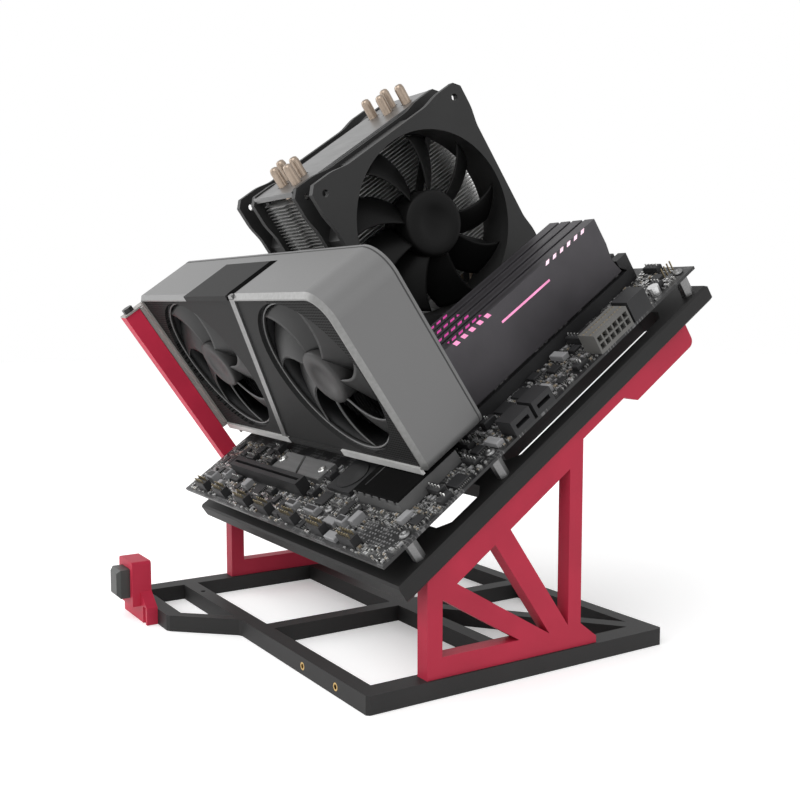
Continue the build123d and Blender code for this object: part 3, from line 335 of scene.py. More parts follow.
def solder_mask(name):
    """Black lacquered board, with faint copper tracks under the lacquer in patches."""
    made = Shader(name)
    tracks = made.node("TexBrick", offset=0.37, squash=0.6, squash_frequency=3)
    tracks.inputs["Scale"].default_value = 120
    tracks.inputs["Mortar Size"].default_value = 0.035
    tracks.inputs["Color1"].default_value = (0.004, 0.004, 0.0045, 1)
    tracks.inputs["Color2"].default_value = (0.022, 0.022, 0.023, 1)
    tracks.inputs["Mortar"].default_value = (0.11, 0.11, 0.11, 1)
    made.link(made.mapped(-TILT), tracks.inputs["Vector"])
    patches = made.node("Mix", data_type="RGBA")
    patchy = made.ramp(made.noise(90, 2), [(0.50, grey(0)), (0.58, grey(1))])
    made.link(patchy, patches.inputs["Factor"])
    colours = [socket for socket in patches.inputs if socket.type == "RGBA"]
    colours[0].default_value = (0.007, 0.007, 0.0075, 1)
    made.link(tracks.outputs["Color"], colours[1])
    made.colour([socket for socket in patches.outputs if socket.type == "RGBA"][0])
    cloud = made.noise(300, 3)
    made.rough(made.spread(cloud, 0.30, 0.48))
    made.bump(tracks.outputs["Fac"], 0.00004, 0.4)
    return made.material


BLACK_PRINT = (0.020, 0.0195, 0.0195)
RED_PRINT = (0.400, 0.020, 0.048)
looks = {
    "base_print": printed("base_print", BLACK_PRINT, "Z"),
    # The tray's black print is a darker copy of the base's, as painted shade
    "tray_print_painted_shade": printed("tray_print_painted_shade", shade(BLACK_PRINT, 0.7), "Z", -TILT),
    "red_print": printed("red_print", RED_PRINT, "X", 0.0, 0.5),
    # Lighter copies of the same red print as painted light: a little on the button's upright, more on the post,
    # which stands in the card's shadow
    "red_upright_painted_light": printed("red_upright_painted_light", shade(RED_PRINT, 1.15), "Z", 0.0, 0.5),
    "red_post_painted_light": printed("red_post_painted_light", shade(RED_PRINT, 1.5), "Z", -TILT, 0.5),
    "button": moulded("button_black", (0.045, 0.048, 0.046), 0.42),
    "connector": moulded("connector_black", (0.020, 0.020, 0.021), 0.5),
    "socket_grey": moulded("socket_grey", (0.12, 0.118, 0.112), 0.5),
    "fan": moulded("fan_black", grey(0.018), 0.50),
    "fan_rotor": moulded("fan_rotor_black", grey(0.0055), 0.45, 0.12),
    "card_fan": moulded("card_fan_grey", grey(0.026), 0.42, 0.25),
    "card_hub": moulded("card_hub_grey", (0.044, 0.043, 0.043), 0.45, 0.2),
    # Lighter grey on the card fans' blade edges and ring lip: a painted highlight
    "blade_highlight_edge": moulded("blade_edge_painted_highlight", grey(0.16), 0.40),
    "card_dark": moulded("card_dark", grey(0.034), 0.55, 0.05),
    "board": solder_mask("board_black"),
    "brass": metal("brass_insert", (0.62, 0.42, 0.16), 0.35),
    "steel": metal("plain_steel", grey(0.55), 0.32),
    "standoff": metal("standoff_metal", grey(0.22), 0.45),
    "spreader": metal("spreader_black", (0.062, 0.058, 0.064), 0.45, (400, 60, 60), 0.5),
    "heatsink": metal("heatsink_dark", (0.045, 0.045, 0.046), 0.45, (300, 80, 80), 0.6),
    "fin": metal("fin_metal", (0.55, 0.55, 0.54), 0.42, polish=0.4),
    # A darker copy of the fin metal for the fins' sides: painted shade
    "fin_edge_painted_shade": metal("fin_edge_painted_shade", grey(0.15), 0.45, polish=0.4),
    "top_plate": metal("top_plate", grey(0.22), 0.4, (60, 500, 500)),
    "pipe": metal("pipe_metal", (0.31, 0.25, 0.20), 0.36, (500, 500, 60)),
    "capacitor": metal("capacitor_can", grey(0.62), 0.3),
    # Near-black for dark joints, vents and grooves, also used as painted shadow beside the card's top cap
    "joint_black": moulded("joint_black", grey(0.006), 0.7, 0.0),
    # The card band's paint in a lit tone, and a darker tone that is painted shade on the faces that look along X
    "card_band": card_shell("card_band", grey(0.185), grey(0.158)),
    "card_edge": metal("card_edge", (0.22, 0.22, 0.217), 0.40, (500, 500, 500), 0.5),
    "card_lip": metal("card_lip", (0.60, 0.60, 0.59), 0.42, (60, 500, 500), 0.3),
    "card_panel": pierced("card_panel", grey(0.034), grey(0.003), -16.5, 62.0),
    "bracket": metal("bracket_nickel", (0.34, 0.325, 0.31), 0.5, (500, 60, 60), 0.4),
    "screw": metal("screw_black", grey(0.030), 0.35, (500, 500, 500), 0.8),
    "light": lit("light_pink", (0.72, 0.25, 0.45), 0.6),
    "light_pale": lit("light_pale", (0.80, 0.58, 0.68), 0.6),
    "light_bar": light_bar("light_bar", (0.020, 0.018, 0.020), (0.55, 0.06, 0.30), GLOW_SPAN),
    "shield": metal("drive_shield", grey(0.16), 0.5, (60, 500, 500), 0.3),
    "lid_black": moulded("lid_black", grey(0.005), 0.7, 0.02),
    "chip_sink": moulded("chip_sink", grey(0.11), 0.5, 0.2),
    "seam": moulded("seam_grey", grey(0.060), 0.6, 0.1),
    "tin": metal("tin_plate", (0.80, 0.80, 0.78), 0.35),
    "gold": metal("gold_plate", (0.30, 0.25, 0.16), 0.38),
    "part_grey": moulded("part_grey", (0.26, 0.26, 0.265), 0.45),
    "part_tan": moulded("part_tan", (0.22, 0.18, 0.13), 0.5),
}
nodes_by_look = {
    "base_print": ("base_frame",),
    "tray_print_painted_shade": ("board_tray",),
    "red_print": ("right_bracket", "left_bracket"),
    "red_post_painted_light": ("card_post",),
    "red_upright_painted_light": ("button_housing",),
    "button": ("power_button", "button_switch"),
    "brass": ("front_inserts",),
    "standoff": ("board_standoffs",),
    "board": ("main_board", "memory_boards", "card_board"),
    "steel": ("cpu_socket", "processor", "usb_ports", "cooler_arch"),
    "connector": (
        "memory_slots", "memory_latches", "card_slots", "sound_jacks", "usb_header", "sata_ports",
        "cpu_power_socket", "pin_headers", "cell_holder", "card_ports",
    ),
    "spreader": ("memory_spreaders",),
    "light_bar": ("memory_lights",),
    "chip_sink": ("chipset_heatsink",),
    "heatsink": ("drive_cover", "side_heatsink", "top_heatsink", "chokes", "coin_cell", "card_heatsink"),
    "socket_grey": ("main_power_socket",),
    "capacitor": ("capacitors",),
    "top_plate": ("cooler_base", "cooler_top_plate"),
    "pipe": ("heat_pipes",),
    "fin": ("fin_stack",),
    "fan": ("front_fan_frame", "rear_fan_frame"),
    "fan_rotor": ("front_fan_rotor", "rear_fan_rotor"),
    "card_band": ("card_frame", "card_back_cover"),
    "card_dark": ("card_caps",),
    "card_panel": ("card_panel",),
    "bracket": ("card_bracket",),
    "screw": ("card_screw",),
    "card_fan": ("card_fan_left", "card_fan_right"),
}
for look, nodes in nodes_by_look.items():
    for node in nodes:
        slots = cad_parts[node].data.materials
        slots.clear()
        slots.append(looks[look])

# The band's faces to the front have a look of their own, apart from its upper left part
to_front, to_top = 0.5, 0.3
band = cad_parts["card_frame"].data
band.materials.append(looks["card_edge"])
for polygon in band.polygons:
    upper_left = polygon.center.x < CARD_CAP_LEFT * MM and polygon.normal.dot(OFF_BOARD) > to_top
    if polygon.normal.dot(UP_SLOPE) < -to_front and not upper_left:
        polygon.material_index = 1


# Added pieces
def piece(name, mesh, look, body="bench", smooth=False):
    """Turn a bmesh into an object that rides on a body."""
    data = bpy.data.meshes.new(name)
    bmesh.ops.recalc_face_normals(mesh, faces=mesh.faces)
    mesh.to_mesh(data)
    mesh.free()
    for polygon in data.polygons:
        polygon.use_smooth = smooth
    for key in (look,) if isinstance(look, str) else look:
        data.materials.append(looks[key])
    made = bpy.data.objects.new(name, data)
    bpy.context.collection.objects.link(made)
    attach(made, body)
    return made


# Forms that pieces are put together from
def enclose(mesh, rings, material=0):
    """Close a row of equal rings of vertices: a face on both ends, then the sides between."""
    faces = [mesh.faces.new(rings[0][::-1]), mesh.faces.new(rings[-1])]
    count = len(rings[0])
    for low, high in zip(rings, rings[1:]):
        for k in range(count):
            j = (k + 1) % count
            faces.append(mesh.faces.new((low[k], low[j], high[j], high[k])))
    for face in faces:
        face.material_index = material
    return faces


def block(mesh, x, u, n, bevel=0.0, material=0):
    """Add a block on the slope, with its upper edges bevelled."""
    levels = [(n[0], 0.0), (n[1], 0.0)]
    if bevel:
        levels = [(n[0], 0.0), (n[1] - bevel, 0.0), (n[1], bevel)]
    rings = []
    for height, inset in levels:
        left, right = x[0] + inset, x[1] - inset
        near, far = u[0] + inset, u[1] - inset
        corners = ((left, near), (right, near), (right, far), (left, far))
        rings.append([mesh.verts.new(at(*corner, height)) for corner in corners])
    enclose(mesh, rings, material)


def around(x, u, half_x, half_u):
    """Spans of x and u round a middle on the slope."""
    return (x - half_x, x + half_x), (u - half_u, u + half_u)


def post(mesh, x, u, half, n, bevel=0.0, material=0):
    """Add a square block round a middle on the slope."""
    block(mesh, *around(x, u, half, half), n, bevel, material)


def prism(mesh, x, profile, material=0):
    """Add a prism: a closed profile of (u, n) points, carried across from one x to another."""
    enclose(mesh, [[mesh.verts.new(at(place, u, n)) for u, n in profile] for place in x], material)


def spoke(axis, angle):
    """Unit vector square to an axis, at an angle round it."""
    side = axis.orthogonal().normalized()
    return side * math.cos(angle) + axis.cross(side) * math.sin(angle)


def stack(mesh, centre, axis, profile, sides=20, material=0):
    """Add a turned form: (radius, height) steps along an axis from a world centre, in millimetres."""
    spokes = [spoke(axis, 2 * math.pi * k / sides) for k in range(sides)]
    rings = []
    for radius, height in profile:
        middle = centre + axis * (height * MM)
        rings.append([mesh.verts.new(middle + out * (radius * MM)) for out in spokes])
    enclose(mesh, rings, material)


# Ground of the board that is taken, and its small parts
crowded = [
    "cpu_socket", "memory_slots", "memory_latches", "card_slots", "chipset_heatsink", "drive_cover", "side_heatsink",
    "top_heatsink", "usb_ports", "sound_jacks", "main_power_socket", "usb_header", "sata_ports",
    "cpu_power_socket", "coin_cell", "cell_holder", "pin_headers", "capacitors", "chokes",
]


def islands(node):
    """Lowest and highest x, u and n of each separate solid of a node, in millimetres."""
    mesh = bmesh.new()
    mesh.from_mesh(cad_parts[node].data)
    bmesh.ops.remove_doubles(mesh, verts=mesh.verts, dist=1e-6)
    seen = set()
    found = []
    for start in mesh.verts:
        if start in seen:
            continue
        seen.add(start)
        group, open_ends = [], [start]
        while open_ends:
            vertex = open_ends.pop()
            group.append(vertex)
            for link in vertex.link_edges:
                other = link.other_vert(vertex)
                if other not in seen:
                    seen.add(other)
                    open_ends.append(other)
        found.append(extent([on_slope(vertex.co) for vertex in group]))
    mesh.free()
    return found


standoff_spots = [((low + high) / 2).xy for low, high in islands("board_standoffs")]


def free_spot(x, u, half_x, half_u):
    """Whether a part of that half size stands clear of everything on the board."""
    left, right, near, far = x - half_x, x + half_x, u - half_u, u + half_u
    if left <= field[0] or right >= field[1] or near <= field[2] or far >= field[3]:
        return False
    return all(right < a or left > b or far < c or near > d for a, b, c, d in taken)


def roomy(x, u, room):
    """The ground (x, x, u, u) of a part with room round it."""
    return x[0] - room, x[1] + room, u[0] - room, u[1] + room


chance = random.Random(11)
board_low, board_high = slope_box("main_board")
field = roomy((board_low.x, board_high.x), (board_low.y, board_high.y), -BOARD_MARGIN)
taken = [
    roomy((low.x, high.x), (low.y, high.y), NODE_ROOM) for node in crowded for low, high in islands(node)
]
taken += [roomy((x, x), (u, u), SCREW_ROOM) for x, u in standoff_spots]
taken.append(roomy(*SHIELD, SHIELD_ROOM))


def find_spot(zone, half_x, half_u, tries=40):
    """A free place inside a zone (x, x, u, u), marked as taken, or None."""
    for _ in range(tries):
        x = chance.uniform(*zone[:2])
        u = chance.uniform(*zone[2:])
        if free_spot(x, u, half_x, half_u):
            taken.append(roomy(*around(x, u, half_x, half_u), PART_ROOM))
            return x, u
    return None


def board_covers():
    """A flat drive shield in two halves with a screw in each, and a smooth lid on the chip's heat sink."""
    height, bevel, slant, groove, split, screw_inset = 3.2, 0.6, 9.0, 1.4, 0.38, 4.5
    (left, right), (near, far) = SHIELD
    top = BOARD_TOP + height
    middle = left + (right - left) * split
    mesh = bmesh.new()
    for start, end, lean in ((left, middle, (0, slant)), (middle + groove, right, (slant, 0))):
        rings = []
        for n, inset in ((BOARD_TOP, 0.0), (top - bevel, 0.0), (top, bevel)):
            corners = (
                (start + inset + lean[0], near + inset),
                (end - inset + lean[1], near + inset),
                (end - inset, far - inset),
                (start + inset, far - inset),
            )
            rings.append([mesh.verts.new(at(x, u, n)) for x, u in corners])
        enclose(mesh, rings)
    head = ((2.6, 0.0), (2.6, 0.6), (2.2, 1.0), (1.4, 1.0), (1.1, 0.4))
    for x in (left + screw_inset, right - screw_inset):
        stack(mesh, at(x, (near + far) / 2, top), OFF_BOARD, head, material=1)
    piece("drive_shield", mesh, ("shield", "tin"))

    margin, lap, proud, line, line_inset, line_half = 0.4, 0.6, 0.9, (6, 7), 5, 0.1
    low, high = slope_box("chipset_heatsink")
    lid_x, lid_u = (low.x + margin, high.x - margin), (low.y + margin, high.y - margin)
    mesh = bmesh.new()
    block(mesh, lid_x, lid_u, (high.z - lap, high.z + proud), bevel)
    line_x, line_u = (low.x + line[0], low.x + line[1]), (low.y + line_inset, high.y - line_inset)
    lid_top = high.z + proud
    block(mesh, line_x, line_u, (lid_top - line_half, lid_top + line_half), 0.0, 1)
    piece("chipset_lid", mesh, ("lid_black", "heatsink"))


def legged_chips():
    """Black chips with bright legs along two sides."""
    half_sizes = ((2.4, 2.9), (3.2, 3.2), (4.6, 4.6), (2.0, 3.4))
    bevel, leg_pitch, leg_room, leg_reach, leg_half, leg_height = 0.25, 1.1, 0.7, 0.65, 0.22, 0.55
    mesh = bmesh.new()
    for zone, count in ((FRONT_ZONE, 20), (RIGHT_ZONE, 12), (BACK_ZONE, 12)):
        for _ in range(count):
            half_x, half_u = chance.choice(half_sizes)
            spot = find_spot(zone, half_x + leg_room, half_u)
            if not spot:
                continue
            x, u = spot
            top = BOARD_TOP + chance.choice((1.2, 1.6, 2.0))
            block(mesh, *around(x, u, half_x, half_u), (BOARD_TOP, top), bevel)
            legs = int(half_u * 2 / leg_pitch)
            for side in (-1, 1):
                leg_x = sorted((x + side * half_x, x + side * (half_x + leg_reach)))
                for k in range(legs):
                    place = u - half_u + (k + 0.5) * 2 * half_u / legs
                    leg_u = (place - leg_half, place + leg_half)
                    block(mesh, leg_x, leg_u, (BOARD_TOP, BOARD_TOP + leg_height), 0.0, 1)
    piece("board_chips", mesh, ("connector", "tin"))


def chip_parts():
    """Small two-ended resistors and capacitors all over the board."""
    sizes = ((1.6, 0.8, 0.6), (2.0, 1.25, 0.8), (3.2, 1.6, 1.0), (1.0, 0.5, 0.5))
    cap_share, cap_rise, cap_look, tries = 0.22, 0.05, 3, 12
    mesh = bmesh.new()
    for zone, count in ((FRONT_ZONE, 900), (RIGHT_ZONE, 560), (BACK_ZONE, 160)):
        for _ in range(count):
            length, width, height = chance.choice(sizes)
            along_x = chance.random() < 0.5
            half_x, half_u = (length / 2, width / 2) if along_x else (width / 2, length / 2)
            spot = find_spot(zone, half_x, half_u, tries)
            if not spot:
                continue
            x, u = spot
            body = chance.choice((0, 0, 1, 2))
            half, cap, top = length / 2, length * cap_share, BOARD_TOP + height
            for start, end, rise, look in (
                (-half + cap, half - cap, 0.0, body),
                (-half, -half + cap, cap_rise, cap_look),
                (half - cap, half, cap_rise, cap_look),
            ):
                span_x = (x + start, x + end) if along_x else (x - half_x, x + half_x)
                span_u = (u - half_u, u + half_u) if along_x else (u + start, u + end)
                block(mesh, span_x, span_u, (BOARD_TOP, top + rise), 0.0, look)
    piece("board_small_parts", mesh, ("part_grey", "part_tan", "connector", "tin"))


def pad_rows():
    """Rows of bright pads near the front right corner with some left out, and pale plug sockets beside them."""
    rows, columns, pitch, first_x, first_u = 5, 13, 2.3, 82, 10.6
    half, height, bevel, ground = 0.5, 0.6, 0.2, (81, 111.5, 9.5, 21.5)
    mesh = bmesh.new()
    for row in range(rows):
        for k in range(columns):
            x, u = first_x + k * pitch, first_u + row * pitch
            left_out = (row * 7 + k * 5) % 4 == 0
            if not left_out and free_spot(x, u, half, half):
                post(mesh, x, u, half, (BOARD_TOP, BOARD_TOP + height), bevel, 1)
    taken.append(ground)

    rim, rim_bevel, room, lap = 1, 0.5, 0.4, 0.1
    sockets = (
        (50, 16, 5.5, 3.2, 5.0), (64, 15, 4.0, 2.6, 4.2), (30, 15.5, 6.0, 2.4, 3.6), (-100, 14, 4.5, 3.0, 5.5),
        (8, 15, 5.0, 2.4, 3.4), (-88, 20, 3.0, 3.0, 4.6),
    )
    for x, u, half_x, half_u, socket_height in sockets:
        if not free_spot(x, u, half_x, half_u):
            continue
        top = BOARD_TOP + socket_height
        outer = around(x, u, half_x, half_u)
        block(mesh, *outer, (BOARD_TOP, top), rim_bevel)
        block(mesh, *around(x, u, half_x - rim, half_u - rim), (top - lap, top + lap), 0.0, 2)
        taken.append(roomy(*outer, room))
    piece("board_pads", mesh, ("part_grey", "standoff", "connector"))


def plug_sockets():
    """Low plug sockets with a row of pins, and every third one a plain coil, in the free places."""
    half_sizes = ((3.4, 2.2), (2.2, 4.0), (3.0, 3.0), (5.2, 2.4))
    bevel, pin_pitch, pin_half, pin_height, pin_bevel, coil_look = 0.4, 2.2, 0.3, 1.6, 0.15, 2
    mesh = bmesh.new()
    for zone, count in ((FRONT_ZONE, 16), (RIGHT_ZONE, 14)):
        for k in range(count):
            half_x, half_u = chance.choice(half_sizes)
            spot = find_spot(zone, half_x, half_u)
            if not spot:
                continue
            x, u = spot
            top = BOARD_TOP + chance.uniform(2.4, 5.2)
            look = coil_look if k % 3 == 0 else 0
            block(mesh, *around(x, u, half_x, half_u), (BOARD_TOP, top), bevel, look)
            if look:
                continue
            pins = max(2, int(half_x * 2 / pin_pitch))
            for i in range(pins):
                pin = x - half_x + (i + 0.5) * 2 * half_x / pins
                post(mesh, pin, u, pin_half, (top, top + pin_height), pin_bevel, 1)
    piece("board_sockets", mesh, ("connector", "tin", "part_grey"))


def pins_on_headers():
    """Two rows of square pins on each pin header, and a row of four near the far corner."""
    pitch, half, height, bevel = 2.54, 0.32, 2.6, 0.2
    row, row_x, row_u, row_n = 4, (110.7, 111.3), 230, (BOARD_TOP + 2.0, BOARD_TOP + 8.0)
    mesh = bmesh.new()
    for low, high in islands("pin_headers"):
        middle = (low + high) / 2
        pairs = int((high.x - low.x) / pitch)
        for i in range(pairs):
            x = middle.x + (i - (pairs - 1) / 2) * pitch
            for u in (middle.y - pitch / 2, middle.y + pitch / 2):
                post(mesh, x, u, half, (high.z, high.z + height), bevel)
    for i in range(row):
        u = row_u + i * pitch
        block(mesh, row_x, (u - half, u + half), row_n, bevel)
    piece("header_pins", mesh, "gold")


def board_screws():
    """Pan-head screws with a round recess over each standoff."""
    head = ((2.9, 0.0), (2.9, 0.7), (2.5, 1.3), (1.6, 1.6), (1.2, 1.6), (0.9, 0.9))
    mesh = bmesh.new()
    for x, u in standoff_spots:
        stack(mesh, at(x, u, BOARD_TOP), OFF_BOARD, head)
    piece("board_screws", mesh, "standoff", smooth=True)


# Fans and cooler
def revolve(mesh, centre, axis, loop, sides=96, materials=None):
    """Add a ring: a closed loop of (radius, height) points turned about an axis, in millimetres."""
    rings = []
    for k in range(sides):
        out = spoke(axis, 2 * math.pi * k / sides)
        rings.append([mesh.verts.new(centre + axis * (h * MM) + out * (r * MM)) for r, h in loop])
    count = len(loop)
    for k in range(sides):
        here, there = rings[k], rings[(k + 1) % sides]
        for i in range(count):
            j = (i + 1) % count
            face = mesh.faces.new((here[i], here[j], there[j], there[i]))
            face.material_index = materials[i] if materials else 0


def swept_blade(mesh, centre, axis, turn, radii, widths, rises, lean):
    """Add one twisted and swept blade, with its edges in a second material; on the card's fans that is a lighter
    grey, a painted highlight.
    """
    spans, chords = 14, 12
    half_thickness, thinning, camber, width_curve, lean_curve = 0.6, 0.4, 0.28, 0.8, 1.6
    skins = []
    for offset in (-half_thickness, half_thickness):
        rows = []
        for i in range(spans + 1):
            t = i / spans
            radius = radii[0] + (radii[1] - radii[0]) * t
            width = widths[0] + (widths[1] - widths[0]) * t ** width_curve
            rise = rises[0] + (rises[1] - rises[0]) * t
            row = []
            for j in range(chords + 1):
                c = j / chords - 0.5
                out = spoke(axis, turn + lean * t ** lean_curve + c * width / radius)
                height = c * rise + (0.25 - c * c) * camber * rise + offset * (1 - thinning * t)
                row.append(mesh.verts.new(centre + axis * (height * MM) + out * (radius * MM)))
            rows.append(row)
        skins.append(rows)
    low, high = skins
    for i in range(spans):
        for j in range(chords):
            for rows in skins:
                mesh.faces.new((rows[i][j], rows[i + 1][j], rows[i + 1][j + 1], rows[i][j + 1]))
        for j in (0, chords):
            mesh.faces.new((low[i][j], low[i + 1][j], high[i + 1][j], high[i][j])).material_index = 1
    for j in range(chords):
        for i in (0, spans):
            mesh.faces.new((low[i][j], low[i][j + 1], high[i][j + 1], high[i][j])).material_index = 1


def smooth_rotor(node, body, centre, axis, depth, hub, tip, blades, widths, rises, lean, ringed, skins):
    """A rotor with twisted blades and a rounded hub, in place of a CAD node's plainer one."""
    half, dish = depth / 2, hub / 2
    hub_sides, ring_sides, ring_wall, ring_lap, root_lap = 64, 120, 1.0, 0.1, 0.6
    mesh = bmesh.new()
    profile = (
        (hub - 1.0, -half), (hub, -half + 1.0), (hub, half - 1.6), (hub - 0.5, half - 0.6), (hub - 1.6, half - 0.1),
        (hub - 3.0, half), (dish, half), (dish - 0.4, half - 0.25), (1.0, half - 0.25),
    )
    stack(mesh, centre, axis, profile, hub_sides, 2)
    reach = tip - ring_wall + ring_lap if ringed else tip
    for k in range(blades):
        turn = 2 * math.pi * k / blades
        swept_blade(mesh, centre, axis, turn, (hub - root_lap, reach), widths, rises, lean)
    if ringed:
        inner, lip = tip - ring_wall, half - 1.2
        loop = ((inner, lip - 2.2), (tip, lip - 2.2), (tip, lip - 0.3), (tip - 0.4, lip), (inner, lip - 0.3))
        # The ring's chamfer and front lip take the second material, which on the card's fans is the painted
        # highlight of the blade edges
        revolve(mesh, centre, axis, loop, ring_sides, (0, 0, 1, 1, 0))
    made = piece(f"{node}_smooth", mesh, skins, body, True)
    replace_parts(made, node)


def fans():
    """Smooth rotors for the cooler's two fans and the card's two."""
    low, high = slope_box("front_fan_frame")
    middle = (low + high) / 2
    for name in ("front_fan", "rear_fan"):
        low, high = slope_box(f"{name}_rotor")
        centre = at((low.x + high.x) / 2, middle.y, middle.z)
        smooth_rotor(
            f"{name}_rotor", name, centre, ACROSS, high.x - low.x, hub=19.5, tip=51.6, blades=9, widths=(12, 21),
            rises=(16, 13), lean=0.24, ringed=False, skins=("fan_rotor",) * 3,
        )
    for x, name in zip(CARD_FAN_X, ("left_card_fan", "right_card_fan")):
        node = "card_fan_" + name.split("_")[0]
        low, high = slope_box(node)
        centre = at(x, (low.y + high.y) / 2, CARD_FAN_N)
        smooth_rotor(
            node, name, centre, -UP_SLOPE, high.y - low.y, hub=16.0, tip=46.2, blades=7, widths=(13, 31),
            rises=(8.4, 7.4), lean=0.50, ringed=True, skins=("card_fan", "blade_highlight_edge", "card_hub"),
        )


def frame_edges():
    """Strips in the cooler fan frames' recessed edges, which run up to the ears in a smooth slope."""
    ear, recess, fill, run, flange = 16.0, 4.0, 2.0, 14.0, 4.0
    lap, inset, steps = 0.2, 0.02, 6
    mesh = bmesh.new()
    for node in ("front_fan_frame", "rear_fan_frame"):
        low, high = slope_box(node)
        side = high.y - low.y
        edge = [(ear - lap, recess + lap), (ear - lap, inset)]
        for k in range(steps + 1):
            t = k / steps
            edge.append((ear + run * t, inset + fill * t * t * (3 - 2 * t)))
        edge += [(side - along, drop) for along, drop in reversed(edge)]
        for x in ((low.x + inset, low.x + flange - inset), (high.x - flange + inset, high.x - inset)):
            prism(mesh, x, [(low.y + along, high.z - drop) for along, drop in edge])
            prism(mesh, x, [(low.y + along, low.z + drop) for along, drop in edge])
            prism(mesh, x, [(low.y + drop, low.z + along) for along, drop in edge])
            prism(mesh, x, [(high.y - drop, low.z + along) for along, drop in edge])
    piece("fan_frame_edges", mesh, "fan")


def bent_pipes():
    """Round heat pipes with true bends and tapered tips, in place of the CAD's mitred ones."""
    radius, bend, sides, steps = 3.0, 14.0, 20, 8
    mesh = bmesh.new()
    for low, high in islands("heat_pipes"):
        x = (low.x + high.x) / 2
        left, right, floor, tip = low.y + radius, high.y - radius, low.z + radius, high.z
        path = [(left, tip, 0.45), (left, tip - 0.6, 0.8), (left, tip - 2.4, 1.0)]
        for k in range(steps + 1):
            angle = math.pi / 2 * k / steps
            path.append((left + bend * (1 - math.cos(angle)), floor + bend * (1 - math.sin(angle)), 1.0))
        path += [(left + right - u, n, scale) for u, n, scale in reversed(path)]
        rings = []
        for k, (u, n, scale) in enumerate(path):
            before, after = path[max(k - 1, 0)], path[min(k + 1, len(path) - 1)]
            along = Vector((0, after[0] - before[0], after[1] - before[1])).normalized()
            normal = Vector((0, -along.z, along.y))
            ring = []
            for i in range(sides):
                angle = 2 * math.pi * i / sides
                out = Vector((math.cos(angle), 0, 0)) + normal * math.sin(angle)
                ring.append(mesh.verts.new(at(*(Vector((x, u, n)) + out * (radius * scale)))))
            rings.append(ring)
        enclose(mesh, rings)
    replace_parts(piece("bent_heat_pipes", mesh, "pipe", smooth=True), "heat_pipes")


def fine_fins():
    """The cooler's close stack of thin fins with stepped sides, in place of the CAD's wider pitch."""
    count, thick = 46, 0.45
    steps = [(0.0, 3.2), (0.27, 3.2), (0.29, 0.0), (0.63, 0.0), (0.65, 2.2), (1.0, 2.2)]
    mesh = bmesh.new()
    low, high = slope_box("fin_stack")
    pitch = (high.z - low.z - thick) / (count - 1)
    near = [(low.x + share * (high.x - low.x), low.y + inset) for share, inset in steps]
    far = [(x, low.y + high.y - u) for x, u in reversed(near)]
    for k in range(count):
        n = low.z + k * pitch
        rings = [[mesh.verts.new(at(x, u, height)) for x, u in near + far] for height in (n, n + thick)]
        sides = enclose(mesh, rings)[2:]
        # The fins' sides take the darker copy of the fin metal as painted shade; their ends toward the fans keep the
        # light one
        for i, face in enumerate(sides, 1):
            face.material_index = 0 if i % len(near) == 0 else 1
    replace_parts(piece("fine_fin_stack", mesh, ("fin", "fin_edge_painted_shade")), "fin_stack")


# Card
def card_fins():
    """Close fins between the wider ones of the card's heat sink."""
    count, half, depth, margin, plate = 64, 0.25, 14.6, 1, 3.0
    mesh = bmesh.new()
    low, high = slope_box("card_heatsink")
    root = slope_box("card_board")[0].y - plate
    for k in range(count):
        x = low.x + margin + k * (high.x - low.x - 2 * margin) / (count - 1)
        block(mesh, (x - half, x + half), (root - depth, root), (low.z, high.z))
    piece("card_fine_fins", mesh, "heatsink")


def fan_ducts():
    """Round ducts that lead the air from each card fan to the fins."""
    inner, outer, front_lap, back_gap = 47.3, 48.2, 0.3, 17.4
    mesh = bmesh.new()
    front = slope_box("card_panel")[1].y - front_lap
    length = slope_box("card_board")[0].y - back_gap - front
    for x in CARD_FAN_X:
        loop = ((inner, 0.0), (outer, 0.0), (outer, length), (inner, length))
        revolve(mesh, at(x, front, CARD_FAN_N), UP_SLOPE, loop)
    piece("card_fan_ducts", mesh, "connector", smooth=True)


def card_trim():
    """Flat lips on the card's lower rim, the bracket's edge at its left, and the dark joint beside its top cap,
    drawn wider than the gap as painted shadow.
    """
    low, high = slope_box("card_frame")
    (foot_low, foot_high), (_, head_high) = sorted(islands("card_caps"), key=lambda box: box[0].z)
    proud, depth, drop, rise, cap_gap, end_gaps = 0.25, 1.2, 0.6, 3.4, 0.5, (4.0, 5.0)
    lip = (low.y - proud, low.y + depth)
    mesh = bmesh.new()
    for x in ((low.x + end_gaps[0], foot_low.x - cap_gap), (foot_high.x + cap_gap, high.x - end_gaps[1])):
        block(mesh, x, lip, (low.z - drop, low.z + rise))
    piece("card_lips", mesh, "card_lip")

    strip_reach, strip_gap, flange_reach, flange_front, web_reach = 3.6, 4.0, 8.6, 2.2, 1.2
    face, back = low.x - 0.4, low.y - 1.4
    tall = (low.z + 1.0, high.z - 7.0)
    mesh = bmesh.new()
    block(mesh, (face, low.x + strip_reach), lip, (low.z + strip_gap, high.z - strip_gap))
    block(mesh, (low.x - flange_reach, face), (low.y - flange_front, back), tall)
    block(mesh, (low.x - web_reach, face), (back, lip[1]), tall)
    piece("card_bracket_edge", mesh, "bracket")

    # A near-black strip over the gap beside the top cap and on over the band's top: the dark joint, widened as
    # painted shadow
    rim, lap, width, over, under = 2.4, 0.2, 8.0, (0.1, 0.12), (0.2, 0.3)
    surface = [(high.y, high.z), (low.y + rim, high.z), (low.y, high.z - rim)]
    outer = [(u - over[0], n + over[1]) for u, n in surface]
    inner = [(u + under[0], n - under[1]) for u, n in reversed(surface)]
    mesh = bmesh.new()
    prism(mesh, (head_high.x - lap, head_high.x + width), outer + inner)
    piece("card_cap_joint_shadow", mesh, "joint_black")


